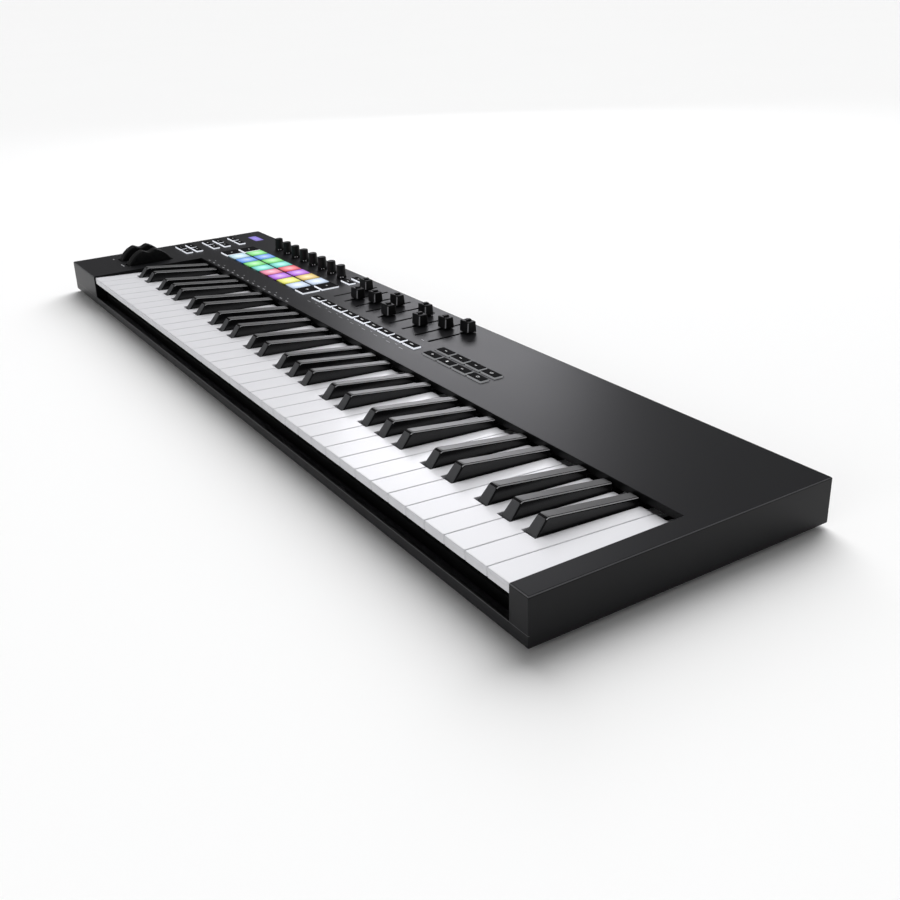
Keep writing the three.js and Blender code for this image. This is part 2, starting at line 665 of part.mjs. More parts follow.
makeCaseShell();
makeBottomCover();
makeFeet();
makeKeybed();
makeBoards();
makeDisplay();
makeWheelBracket();
makeKeys();
makeWheels();
makePadsAndButtons();
makeKnobs();
makeFaders();
makeSockets();

export default model;
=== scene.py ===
"""Looks of a 61-key controller keyboard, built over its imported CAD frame.

Everything is in metres in the frame of the CAD: +X towards the treble end, +Y to the rear, +Z up, with the
origin under the middle of the case. Sizes in the classes are in millimetres.
"""

from __future__ import annotations

import json
import logging
import math
from dataclasses import dataclass, field
from enum import Enum
from typing import Callable, Iterable, Sequence

import bmesh
import bpy
from mathutils import Matrix, Vector

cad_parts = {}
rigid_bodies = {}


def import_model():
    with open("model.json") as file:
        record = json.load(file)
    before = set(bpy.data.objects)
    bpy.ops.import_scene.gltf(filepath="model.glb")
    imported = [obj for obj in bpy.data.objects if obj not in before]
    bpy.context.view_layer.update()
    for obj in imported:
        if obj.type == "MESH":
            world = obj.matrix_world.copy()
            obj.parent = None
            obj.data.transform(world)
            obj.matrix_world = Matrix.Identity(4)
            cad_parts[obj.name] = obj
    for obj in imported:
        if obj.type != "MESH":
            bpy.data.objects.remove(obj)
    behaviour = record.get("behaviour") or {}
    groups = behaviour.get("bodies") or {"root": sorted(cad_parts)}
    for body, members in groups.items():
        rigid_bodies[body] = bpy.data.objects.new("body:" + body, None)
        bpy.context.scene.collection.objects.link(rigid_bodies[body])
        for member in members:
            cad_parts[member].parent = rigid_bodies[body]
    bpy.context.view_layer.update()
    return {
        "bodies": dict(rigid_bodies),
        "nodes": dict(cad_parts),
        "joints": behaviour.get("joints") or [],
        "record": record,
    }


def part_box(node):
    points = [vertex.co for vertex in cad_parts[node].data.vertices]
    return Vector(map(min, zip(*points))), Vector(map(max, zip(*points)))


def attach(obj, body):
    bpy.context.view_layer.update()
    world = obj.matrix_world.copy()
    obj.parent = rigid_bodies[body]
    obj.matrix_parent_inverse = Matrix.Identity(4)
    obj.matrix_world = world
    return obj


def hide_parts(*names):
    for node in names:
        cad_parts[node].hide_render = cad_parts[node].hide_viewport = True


MM = 0.001
LARGE_FACE = 25e-6  # square metres
MOULD_ANGLE = 35.0  # degrees, the largest turn that is shaded as a curve
CAP_ANGLE = 45.0
KEY_ANGLE = 50.0
PAD_ANGLE = 60.0
LOG = logging.getLogger("keyboard")

Point2 = tuple[float, float]
Colour = tuple[float, float, float]


# ---------------------------------------------------------------------------------------------- geometry


def rounded(corners: Sequence[tuple[float, float, float]], steps: int = 3) -> list[Point2]:
    """Rounds the corners of a counter-clockwise outline.

    Args:
        corners: (x, y, radius) of each corner.
        steps: straight pieces in each rounded corner.

    Returns:
        The outline's points, counter-clockwise.
    """
    made: list[Point2] = []
    count = len(corners)
    for i, (x, y, radius) in enumerate(corners):
        here = Vector((x, y))
        back = (Vector(corners[i - 1][:2]) - here).normalized()
        ahead = (Vector(corners[(i + 1) % count][:2]) - here).normalized()
        half_angle = math.acos(max(-1.0, min(1.0, back.dot(ahead)))) / 2
        if radius <= 0 or abs(math.cos(half_angle)) < 1e-6:
            made.append((x, y))
            continue
        reach = radius / math.tan(half_angle)
        centre = here + (back + ahead).normalized() * (radius / math.sin(half_angle))
        first = here + back * reach - centre
        last = here + ahead * reach - centre
        turn = first.angle_signed(last) * -1
        start = math.atan2(first.y, first.x)
        for k in range(steps + 1):
            angle = start + turn * k / steps
            made.append((centre.x + radius * math.cos(angle), centre.y + radius * math.sin(angle)))
    return made


def inset(outline: Sequence[Point2], distance: float) -> list[Point2]:
    """Moves every side of a counter-clockwise outline inwards by a distance."""
    made: list[Point2] = []
    count = len(outline)
    for i in range(count):
        here = Vector(outline[i])
        before = (here - Vector(outline[i - 1])).normalized()
        after = (Vector(outline[(i + 1) % count]) - here).normalized()
        first = Vector((-before.y, before.x))
        second = Vector((-after.y, after.x))
        step = (first + second) / max(0.35, 1 + first.dot(second))
        made.append(tuple(here + step * distance))
    return made


def rectangle(width: float, depth: float, radius: float, at: Point2 = (0.0, 0.0)) -> list[Point2]:
    """A rounded rectangle about a point, counter-clockwise."""
    x, y = width / 2, depth / 2
    corners = [(-x, -y), (x, -y), (x, y), (-x, y)]
    return rounded([(at[0] + a, at[1] + b, radius) for a, b in corners])


class Draft:
    """A mesh being drawn up in millimetres, which ends as a Blender object in metres."""

    def __init__(self) -> None:
        """Starts with nothing drawn."""
        self.mesh = bmesh.new()

    def rings(self, rings: Sequence[Sequence[tuple[float, float, float]]], closed: bool = True) -> None:
        """Joins rings of equally many points into a skin.

        Args:
            rings: the rings, each counter-clockwise about the way that they are stacked.
            closed: whether the first and last ring get a face of their own.
        """
        loops = [[self.mesh.verts.new(point) for point in ring] for ring in rings]
        count = len(loops[0])
        for low, high in zip(loops, loops[1:]):
            for i in range(count):
                j = (i + 1) % count
                self.mesh.faces.new((low[i], low[j], high[j], high[i]))
        if closed:
            self.mesh.faces.new(list(reversed(loops[0])))
            self.mesh.faces.new(loops[-1])

    def upright(self, outline: Sequence[Point2], profile: Sequence[Point2], at: Point2 = (0.0, 0.0)) -> None:
        """Raises an outline in X and Y through a profile of (inset, height) steps."""
        self.rings([[(x + at[0], y + at[1], z) for x, y in inset(outline, d)] for d, z in profile])

    def across(self, outline: Sequence[Point2], profile: Sequence[Point2],
               centre: Point2 = (0.0, 0.0)) -> None:
        """Draws an outline in Y and Z out along X through (inset, x) steps."""
        self.rings([[(x, y + centre[0], z + centre[1]) for y, z in inset(outline, d)] for d, x in profile])

    def turned(self, profile: Sequence[Point2], at: tuple[float, float, float], sides: int = 32,
               axis: str = "Z") -> None:
        """Turns a profile of (radius, distance along the axis) about an axis through a point."""
        rings = []
        for radius, along in profile:
            ring = []
            for i in range(sides):
                angle = 2 * math.pi * i / sides
                a, b = radius * math.cos(angle), radius * math.sin(angle)
                local = {"X": (along, a, b), "Y": (b, along, a), "Z": (a, b, along)}[axis]
                ring.append(tuple(p + q for p, q in zip(local, at)))
            rings.append(ring)
        self.rings(rings)

    def block(self, low: Sequence[float], high: Sequence[float], edge: float = 0.0) -> None:
        """A box between two corners, with its upright and upper edges eased by a small radius."""
        x, y = (low[0] + high[0]) / 2, (low[1] + high[1]) / 2
        outline = rectangle(high[0] - low[0], high[1] - low[1], edge)
        top = [(0.0, high[2])]
        if edge > 0:
            top = [(0.0, high[2] - edge), (edge * 0.3, high[2] - edge * 0.3), (edge * 0.9, high[2])]
        self.upright(outline, [(0.0, low[2]), *top], (x, y))

    def tint(self, name: str, paint: Callable[[Vector, Vector], Sequence[float]]) -> None:
        """Stores a colour on the corners of every face so far, by the face's middle and normal."""
        bmesh.ops.recalc_face_normals(self.mesh, faces=self.mesh.faces)
        layer = self.mesh.loops.layers.float_color.get(name) or self.mesh.loops.layers.float_color.new(name)
        for face in self.mesh.faces:
            colour = (*paint(face.calc_center_median(), face.normal), 1.0)
            for loop in face.loops:
                loop[layer] = colour

    def unwrap(self, size: Point2, middle_of: Callable[[Vector], Point2]) -> None:
        """Maps each face straight down, so that a rectangle about its middle fills the UV square."""
        layer = self.mesh.loops.layers.uv.new("UVMap")
        for face in self.mesh.faces:
            x, y = middle_of(face.calc_center_median())
            for loop in face.loops:
                here = loop.vert.co
                loop[layer].uv = ((here.x - x) / size[0] + 0.5, (here.y - y) / size[1] + 0.5)

    def build(self, name: str, material: bpy.types.Material,
              smooth: float = MOULD_ANGLE) -> bpy.types.Object:
        """Ends the draft.

        Args:
            name: the object's name.
            material: its one material.
            smooth: the largest angle, in degrees, that is shaded as a curve.

        Returns:
            The object, at the origin, in metres.
        """
        bmesh.ops.recalc_face_normals(self.mesh, faces=self.mesh.faces)
        mesh = bpy.data.meshes.new(name)
        self.mesh.to_mesh(mesh)
        self.mesh.free()
        mesh.transform(Matrix.Scale(MM, 4))
        mesh.materials.append(material)
        shade(mesh, smooth)
        thing = bpy.data.objects.new(name, mesh)
        bpy.context.scene.collection.objects.link(thing)
        return thing


def shade(mesh: bpy.types.Mesh, degrees: float) -> None:
    """Shades a mesh smooth, apart from edges sharper than an angle and the rims of large flat faces."""
    mesh.shade_smooth()
    mesh.set_sharp_from_angle(angle=math.radians(degrees))
    edges = {edge.key: edge for edge in mesh.edges}
    for face in mesh.polygons:
        if face.area > LARGE_FACE:
            for key in face.edge_keys:
                edges[key].use_edge_sharp = True


def plain(thing: bpy.types.Object, name: str) -> bpy.types.Object:
    """Turns an object with live modifiers into a plain mesh object of its own, and removes the first."""
    graph = bpy.context.evaluated_depsgraph_get()
    mesh = bpy.data.meshes.new_from_object(thing.evaluated_get(graph))
    bpy.data.objects.remove(thing)
    mesh.name = name
    made = bpy.data.objects.new(name, mesh)
    bpy.context.scene.collection.objects.link(made)
    return made


def softened(node: bpy.types.Object, name: str, material: bpy.types.Material,
             width: float) -> bpy.types.Object:
    """Copies a CAD node and eases its edges.

    Args:
        node: the CAD node, which stays as it is.
        name: the copy's name.
        material: the copy's material.
        width: the width of the eased edge, in millimetres.

    Returns:
        The copy, as a plain mesh.
    """
    draft = bmesh.new()
    draft.from_mesh(node.data)
    bmesh.ops.remove_doubles(draft, verts=draft.verts, dist=2e-6)
    bmesh.ops.dissolve_limit(draft, angle_limit=math.radians(0.4), verts=draft.verts, edges=draft.edges)
    mesh = bpy.data.meshes.new(name)
    draft.to_mesh(mesh)
    draft.free()
    mesh.materials.clear()
    mesh.materials.append(material)
    source = bpy.data.objects.new(name + "_draft", mesh)
    bpy.context.scene.collection.objects.link(source)
    ease = source.modifiers.new("Eased edges", "BEVEL")
    ease.width = width * MM
    ease.segments = 2
    ease.limit_method = "ANGLE"
    ease.angle_limit = math.radians(30)
    ease.use_clamp_overlap = False
    made = plain(source, name)
    shade(made.data, 30)
    return made


# ---------------------------------------------------------------------------------------- geometry nodes


class Repeater:
    """Geometry nodes that repeat one part; a subclass says where the copies stand."""

    tree_name: str
    sockets: tuple[tuple[str, str], ...]

    def __init__(self) -> None:
        """Builds the tree once: its own points, with the part on each of them."""
        self.tree = bpy.data.node_groups.new(self.tree_name, "GeometryNodeTree")
        interface = self.tree.interface
        wanted = (("Part", "NodeSocketObject"), *self.sockets, ("Finish", "NodeSocketMaterial"))
        self.inputs = {
            label: interface.new_socket(label, in_out="INPUT", socket_type=kind).identifier
            for label, kind in wanted
        }
        interface.new_socket("Geometry", in_out="OUTPUT", socket_type="NodeSocketGeometry")
        given = self.node("NodeGroupInput")
        part = self.node("GeometryNodeObjectInfo")
        copies = self.node("GeometryNodeInstanceOnPoints")
        real = self.node("GeometryNodeRealizeInstances")
        dressed = self.node("GeometryNodeSetMaterial")
        result = self.node("NodeGroupOutput")
        self.join(given, "Part", part, "Object")
        self.points(given, copies)
        self.join(part, "Geometry", copies, "Instance")
        self.join(copies, "Instances", real, "Geometry")
        self.join(real, "Geometry", dressed, "Geometry")
        self.join(given, "Finish", dressed, "Material")
        self.join(dressed, "Geometry", result, "Geometry")

    def node(self, kind: str) -> bpy.types.Node:
        """Adds a node to the tree."""
        return self.tree.nodes.new(kind)

    def join(self, source: bpy.types.Node, output: str, target: bpy.types.Node, socket: str) -> None:
        """Joins an output of one node to an input of another."""
        self.tree.links.new(source.outputs[output], target.inputs[socket])

    def points(self, given: bpy.types.Node, copies: bpy.types.Node) -> None:
        """Adds the nodes that make the copies' points."""
        raise NotImplementedError

    def repeat(self, name: str, part: bpy.types.Object, values: dict[str, object]) -> bpy.types.Object:
        """Runs the tree as one plain mesh, and removes the single part."""
        carrier = bpy.data.objects.new(name + "_draft", bpy.data.meshes.new(name + "_draft"))
        bpy.context.scene.collection.objects.link(carrier)
        modifier = carrier.modifiers.new("Copies", "NODES")
        modifier.node_group = self.tree
        for label, value in {"Part": part, "Finish": part.data.materials[0], **values}.items():
            modifier[self.inputs[label]] = value
        made = plain(carrier, name)
        bpy.data.objects.remove(part)
        shade(made.data, MOULD_ANGLE)
        return made


class Rows(Repeater):
    """Copies in columns along X and rows along Y."""

    tree_name = "parts_in_rows"
    sockets = (("Columns", "NodeSocketInt"), ("Rows", "NodeSocketInt"), ("Column Step", "NodeSocketVector"),
               ("Row Step", "NodeSocketVector"), ("Start", "NodeSocketVector"))

    def points(self, given: bpy.types.Node, copies: bpy.types.Node) -> None:
        """Puts a line of points on every point of another line."""
        column = self.node("GeometryNodeMeshLine")
        row = self.node("GeometryNodeMeshLine")
        grid = self.node("GeometryNodeInstanceOnPoints")
        flat = self.node("GeometryNodeRealizeInstances")
        self.join(given, "Columns", column, "Count")
        self.join(given, "Rows", row, "Count")
        self.join(given, "Column Step", column, "Offset")
        self.join(given, "Row Step", row, "Offset")
        self.join(given, "Start", row, "Start Location")
        self.join(row, "Mesh", grid, "Points")
        self.join(column, "Mesh", grid, "Instance")
        self.join(grid, "Instances", flat, "Geometry")
        self.join(flat, "Geometry", copies, "Points")

    def lay(self, name: str, part: bpy.types.Object, start: Sequence[float], columns: int, step: float,
            rows: int = 1, row_step: float = 0.0) -> bpy.types.Object:
        """Lays copies from a first place, with their pitches in millimetres."""
        return self.repeat(name, part, {
            "Columns": columns,
            "Rows": rows,
            "Column Step": (step * MM, 0.0, 0.0),
            "Row Step": (0.0, row_step * MM, 0.0),
            "Start": tuple(v * MM for v in start),
        })


class Ring(Repeater):
    """Copies round an arc."""

    tree_name = "parts_in_a_ring"
    sockets = (("Count", "NodeSocketInt"), ("Radius", "NodeSocketFloat"), ("Sweep", "NodeSocketFloat"),
               ("Centre", "NodeSocketVector"), ("Turn", "NodeSocketRotation"))

    def points(self, given: bpy.types.Node, copies: bpy.types.Node) -> None:
        """Puts points on an arc, then turns and moves it."""
        arc = self.node("GeometryNodeCurveArc")
        spots = self.node("GeometryNodeCurveToPoints")
        spots.mode = "EVALUATED"
        placed = self.node("GeometryNodeTransform")
        self.join(given, "Count", arc, "Resolution")
        self.join(given, "Radius", arc, "Radius")
        self.join(given, "Sweep", arc, "Sweep Angle")
        self.join(arc, "Curve", spots, "Curve")
        self.join(spots, "Points", placed, "Geometry")
        self.join(given, "Centre", placed, "Translation")
        self.join(given, "Turn", placed, "Rotation")
        self.join(placed, "Geometry", copies, "Points")

    def lay(self, name: str, part: bpy.types.Object, count: int, radius: float, sweep: float,
            centre: Sequence[float], turn: Sequence[float]) -> bpy.types.Object:
        """Lays copies on an arc of a radius in millimetres and a sweep and turns in degrees."""
        return self.repeat(name, part, {
            "Count": count,
            "Radius": radius * MM,
            "Sweep": math.radians(sweep),
            "Centre": tuple(v * MM for v in centre),
            "Turn": tuple(math.radians(v) for v in turn),
        })


# ---------------------------------------------------------------------------------------------- finishes


def group_of(name: str, inputs: Iterable[tuple[str, str, object]],
             outputs: Iterable[tuple[str, str]]) -> bpy.types.NodeTree:
    """Starts a shader node group with named sockets.

    Args:
        name: the group's name.
        inputs: (label, socket type, default) of each input.
        outputs: (label, socket type) of each output.

    Returns:
        The group, with its input and output nodes in it.
    """
    tree = bpy.data.node_groups.new(name, "ShaderNodeTree")
    for label, kind, default in inputs:
        socket = tree.interface.new_socket(label, in_out="INPUT", socket_type=kind)
        if default is not None:
            socket.default_value = default
    for label, kind in outputs:
        tree.interface.new_socket(label, in_out="OUTPUT", socket_type=kind)
    tree.nodes.new("NodeGroupInput").name = "given"
    tree.nodes.new("NodeGroupOutput").name = "result"
    return tree


def math_node(tree: bpy.types.NodeTree, operation: str, *values: object) -> bpy.types.NodeSocket:
    """Adds a Math node whose inputs are sockets or numbers, and returns its output."""
    node = tree.nodes.new("ShaderNodeMath")
    node.operation = operation
    for socket, value in zip(node.inputs, values):
        if isinstance(value, bpy.types.NodeSocket):
            tree.links.new(value, socket)
        else:
            socket.default_value = value
    return node.outputs[0]


def moulded_grain() -> bpy.types.NodeTree:
    """The fine spark-eroded grain of a moulding: a height, and speckle for the gloss."""
    tree = group_of(
        "moulded_grain",
        [("Vector", "NodeSocketVector", None), ("Scale", "NodeSocketFloat", 1500.0)],
        [("Height", "NodeSocketFloat"), ("Speckle", "NodeSocketFloat")],
    )
    given, result = tree.nodes["given"], tree.nodes["result"]
    fine = tree.nodes.new("ShaderNodeTexNoise")
    fine.inputs["Detail"].default_value = 3.0
    cells = tree.nodes.new("ShaderNodeTexVoronoi")
    tree.links.new(given.outputs["Vector"], fine.inputs["Vector"])
    tree.links.new(given.outputs["Vector"], cells.inputs["Vector"])
    tree.links.new(given.outputs["Scale"], fine.inputs["Scale"])
    tree.links.new(math_node(tree, "MULTIPLY", given.outputs["Scale"], 0.6), cells.inputs["Scale"])
    height = math_node(tree, "MULTIPLY_ADD", cells.outputs["Distance"], 0.5, fine.outputs["Fac"])
    tree.links.new(height, result.inputs["Height"])
    tree.links.new(fine.outputs["Fac"], result.inputs["Speckle"])
    return tree


def soft_tone() -> bpy.types.NodeTree:
    """Slow drift of colour and gloss over a surface, as handling and moulding leave it."""
    tree = group_of(
        "soft_tone",
        [
            ("Vector", "NodeSocketVector", None),
            ("Colour", "NodeSocketColor", (0.5, 0.5, 0.5, 1.0)),
            ("Second Colour", "NodeSocketColor", (0.5, 0.5, 0.5, 1.0)),
            ("Roughness", "NodeSocketFloat", 0.5),
            ("Spread", "NodeSocketFloat", 0.05),
            ("Scale", "NodeSocketFloat", 12.0),
        ],
        [("Colour", "NodeSocketColor"), ("Roughness", "NodeSocketFloat")],
    )
    given, result = tree.nodes["given"], tree.nodes["result"]
    drift = tree.nodes.new("ShaderNodeTexNoise")
    drift.inputs["Detail"].default_value = 4.0
    blend = tree.nodes.new("ShaderNodeMix")
    blend.data_type = "RGBA"
    tree.links.new(given.outputs["Vector"], drift.inputs["Vector"])
    tree.links.new(given.outputs["Scale"], drift.inputs["Scale"])
    tree.links.new(drift.outputs["Fac"], blend.inputs[0])
    tree.links.new(given.outputs["Colour"], blend.inputs[6])
    tree.links.new(given.outputs["Second Colour"], blend.inputs[7])
    offset = math_node(tree, "SUBTRACT", drift.outputs["Fac"], 0.5)
    rough = math_node(tree, "MULTIPLY_ADD", offset, given.outputs["Spread"], given.outputs["Roughness"])
    tree.links.new(blend.outputs[2], result.inputs["Colour"])
    tree.links.new(rough, result.inputs["Roughness"])
    return tree


def lamp_spot() -> bpy.types.NodeTree:
    """How strongly a lamp under the middle of a pad or window shows through at each point of its UV map."""
    tree = group_of(
        "lamp_spot",
        [("Vector", "NodeSocketVector", None), ("Reach", "NodeSocketFloat", 0.6)],
        [("Mask", "NodeSocketFloat")],
    )
    given, result = tree.nodes["given"], tree.nodes["result"]
    parts = tree.nodes.new("ShaderNodeSeparateXYZ")
    tree.links.new(given.outputs["Vector"], parts.inputs[0])
    across = math_node(tree, "SUBTRACT", parts.outputs["X"], 0.5)
    along = math_node(tree, "SUBTRACT", parts.outputs["Y"], 0.5)
    squared = math_node(tree, "ADD", math_node(tree, "MULTIPLY", across, across),
                        math_node(tree, "MULTIPLY", along, along))
    distance = math_node(tree, "SQRT", squared)
    falling = math_node(tree, "DIVIDE", distance, given.outputs["Reach"])
    clear = tree.nodes.new("ShaderNodeClamp")
    tree.links.new(math_node(tree, "SUBTRACT", 1.0, falling), clear.inputs[0])
    tree.links.new(clear.outputs[0], result.inputs["Mask"])
    return tree


GROUPS: dict[str, Callable[[], bpy.types.NodeTree]] = {
    "moulded_grain": moulded_grain,
    "soft_tone": soft_tone,
    "lamp_spot": lamp_spot,
}


class Recipe:
    """One material's node tree while it is put together."""

    def __init__(self, name: str) -> None:
        """Starts a material with its surface shader and Object coordinates."""
        self.material = bpy.data.materials.new(name)
        self.material.use_nodes = True
        self.tree = self.material.node_tree
        self.surface = self.tree.nodes["Principled BSDF"]
        self.coordinates = self.tree.nodes.new("ShaderNodeTexCoord")

    @property
    def place(self) -> bpy.types.NodeSocket:
        """The point's place on the object."""
        return self.coordinates.outputs["Object"]

    def group(self, name: str) -> bpy.types.Node:
        """Places a shared node group, which is built the first time that it is asked for."""
        node = self.tree.nodes.new("ShaderNodeGroup")
        node.node_tree = bpy.data.node_groups.get(name) or GROUPS[name]()
        return node

    def link(self, source: bpy.types.NodeSocket, target: bpy.types.NodeSocket) -> None:
        """Joins two sockets."""
        self.tree.links.new(source, target)

    def uv(self) -> bpy.types.NodeSocket:
        """The point's place on the UV map."""
        place = self.tree.nodes.new("ShaderNodeUVMap")
        place.uv_map = "UVMap"
        return place.outputs["UV"]

    def mix(self, factor: bpy.types.NodeSocket | float, first: bpy.types.NodeSocket | Colour,
            second: Colour) -> bpy.types.NodeSocket:
        """Blends from a colour or socket to a second colour."""
        blend = self.tree.nodes.new("ShaderNodeMix")
        blend.data_type = "RGBA"
        for number, value in ((0, factor), (6, first), (7, second)):
            if isinstance(value, bpy.types.NodeSocket):
                self.link(value, blend.inputs[number])
            else:
                blend.inputs[number].default_value = value if number == 0 else (*value, 1.0)
        return blend.outputs[2]

    def over(self, mask: bpy.types.NodeSocket, colour: Colour) -> None:
        """Lays a colour over the base colour where a mask is 1."""
        base = self.surface.inputs["Base Color"]
        self.link(self.mix(mask, base.links[0].from_socket, colour), base)

    def grain(self, scale: float, strength: float, depth: float) -> bpy.types.Node:
        """Adds a moulded grain as bump, with its depth in millimetres, and returns its group."""
        grain = self.group("moulded_grain")
        grain.inputs["Scale"].default_value = scale
        self.link(self.place, grain.inputs["Vector"])
        bump = self.tree.nodes.new("ShaderNodeBump")
        bump.inputs["Strength"].default_value = strength
        bump.inputs["Distance"].default_value = depth * MM
        self.link(grain.outputs["Height"], bump.inputs["Height"])
        self.link(bump.outputs["Normal"], self.surface.inputs["Normal"])
        return grain

    def spot(self, uv: bpy.types.NodeSocket, reach: float) -> bpy.types.NodeSocket:
        """The mask of a lamp under the middle of the UV map."""
        spot = self.group("lamp_spot")
        spot.inputs["Reach"].default_value = reach
        self.link(uv, spot.inputs["Vector"])
        return spot.outputs["Mask"]


@dataclass(frozen=True)
class Finish:
    """A moulded, painted or metal finish with grain and slow drift of tone."""

    name: str
    colour: Colour
    second: Colour
    roughness: float
    spread: float = 0.08
    tone_scale: float = 14.0
    grain_scale: float = 1600.0
    grain: float = 0.15
    grain_depth: float = 0.06
    metallic: float = 0.0
    specular: float = 0.5
    coat: float = 0.0
    coat_roughness: float = 0.1

    def recipe(self) -> Recipe:
        """Puts the finish together and returns it for further work."""
        made = Recipe(self.name)
        tone = made.group("soft_tone")
        tone.inputs["Colour"].default_value = (*self.colour, 1.0)
        tone.inputs["Second Colour"].default_value = (*self.second, 1.0)
        tone.inputs["Roughness"].default_value = self.roughness
        tone.inputs["Spread"].default_value = self.spread
        tone.inputs["Scale"].default_value = self.tone_scale
        made.link(made.place, tone.inputs["Vector"])
        made.link(tone.outputs["Colour"], made.surface.inputs["Base Color"])
        made.link(tone.outputs["Roughness"], made.surface.inputs["Roughness"])
        made.grain(self.grain_scale, self.grain, self.grain_depth)
        made.surface.inputs["Metallic"].default_value = self.metallic
        made.surface.inputs["Specular IOR Level"].default_value = self.specular
        made.surface.inputs["Coat Weight"].default_value = self.coat
        made.surface.inputs["Coat Roughness"].default_value = self.coat_roughness
        return made

    def material(self) -> bpy.types.Material:
        """The finished material, built once."""
        return bpy.data.materials.get(self.name) or self.recipe().material


@dataclass(frozen=True)
class SeamedFinish(Finish):
    """A case moulding: painted shade on its inner walls, a fine shadow line round its upper edge, and painted
    highlights along its upper edges and the sill's top edge.
    """

    seam: Point2 = (37.15, 37.6)
    # Height band, in millimetres, of the painted highlight along the case's upper outer edges.
    edge_highlight: Point2 = (37.75, 38.35)
    half_width: float = 479.5
    half_depth: float = 128.5
    rim: float = 0.95
    panel: float = 38.05
    # Height band, in millimetres, of the painted highlight along the sill's top edge.
    sill: Point2 = (11.9, 12.3)

    def band(self, tree: bpy.types.NodeTree, height: bpy.types.NodeSocket,
             limits: Point2) -> bpy.types.NodeSocket:
        """A mask that is 1 between two heights, in millimetres."""
        above = math_node(tree, "GREATER_THAN", height, limits[0] * MM)
        below = math_node(tree, "LESS_THAN", height, limits[1] * MM)
        return math_node(tree, "MULTIPLY", above, below)

    def recipe(self) -> Recipe:
        """Adds the painted shade on the inner walls, the shadow line and the painted edge highlights to the
        plain finish.
        """
        made = super().recipe()
        tree = made.tree
        parts = tree.nodes.new("ShaderNodeSeparateXYZ")
        made.link(made.place, parts.inputs[0])
        x, y, z = parts.outputs
        side = (self.half_width - self.rim) * MM
        end = (self.half_depth - self.rim) * MM
        beside = math_node(tree, "GREATER_THAN", math_node(tree, "ABSOLUTE", x), side)
        along = math_node(tree, "GREATER_THAN", math_node(tree, "ABSOLUTE", y), end)
        ahead = math_node(tree, "LESS_THAN", y, -end)
        outer = math_node(tree, "MAXIMUM", beside, along)
        below = math_node(tree, "LESS_THAN", z, self.panel * MM)
        inner = math_node(tree, "MULTIPLY", math_node(tree, "SUBTRACT", 1.0, outer), below)
        dark = math_node(tree, "MULTIPLY", outer, self.band(tree, z, self.seam))
        upper = math_node(tree, "MULTIPLY", outer, self.band(tree, z, self.edge_highlight))
        lower = math_node(tree, "MULTIPLY", ahead, self.band(tree, z, self.sill))
        light = math_node(tree, "MAXIMUM", upper, lower)
        # The inner walls get painted shade, the seam band a dark shadow line, and the upper edges and sill
        # edge a painted highlight.
        for mask, shade_of in ((inner, 0.004), (dark, 0.003), (light, 0.11)):
            made.over(mask, (shade_of, shade_of, shade_of * 1.04))
        return made


@dataclass(frozen=True)
class LitFinish(Finish):
    """Milky silicone with a lamp under it."""

    glow: Colour = (0.8, 0.85, 1.0)
    strength: float = 0.8

    def recipe(self) -> Recipe:
        """Adds the lamp's light, uneven along the part, to the plain finish."""
        made = super().recipe()
        drift = made.tree.nodes.new("ShaderNodeTexNoise")
        drift.inputs["Scale"].default_value = 60.0
        made.link(made.place, drift.inputs["Vector"])
        ramp = made.tree.nodes.new("ShaderNodeValToRGB")
        ramp.color_ramp.elements[0].position = 0.3
        ramp.color_ramp.elements[0].color = (*(0.82 * c for c in self.glow), 1.0)
        ramp.color_ramp.elements[1].position = 0.7
        ramp.color_ramp.elements[1].color = (*self.glow, 1.0)
        made.link(drift.outputs["Fac"], ramp.inputs[0])
        made.link(ramp.outputs["Color"], made.surface.inputs["Emission Color"])
        made.surface.inputs["Emission Strength"].default_value = self.strength
        return made


@dataclass(frozen=True)
class PadFinish:
    """A silicone pad lit from below in its own colour, palest over the lamp."""

    name: str = "lit_pad_silicone"
    strength: float = 0.55
    whitening: float = 0.7
    dullness: float = 0.55
    dimmest: float = 0.45

    def material(self) -> bpy.types.Material:
        """The finished material, built once."""
        found = bpy.data.materials.get(self.name)
        if found:
            return found
        made = Recipe(self.name)
        tree = made.tree
        tint = tree.nodes.new("ShaderNodeAttribute")
        tint.attribute_name = "pad_tint"
        colour = tint.outputs["Color"]
        spot = made.spot(made.uv(), 0.62)
        share = math_node(tree, "MULTIPLY", spot, self.whitening)
        made.link(made.mix(share, colour, (1.0, 1.0, 1.0)), made.surface.inputs["Emission Color"])
        made.link(made.mix(self.dullness, colour, (0.02, 0.02, 0.022)), made.surface.inputs["Base Color"])
        glow = math_node(tree, "MULTIPLY_ADD", spot, self.strength, self.strength * self.dimmest)
        made.link(glow, made.surface.inputs["Emission Strength"])
        grain = made.grain(900.0, 0.12, 0.05)
        made.link(math_node(tree, "MULTIPLY_ADD", grain.outputs["Speckle"], 0.1, 0.5),
                  made.surface.inputs["Roughness"])
        return made.material


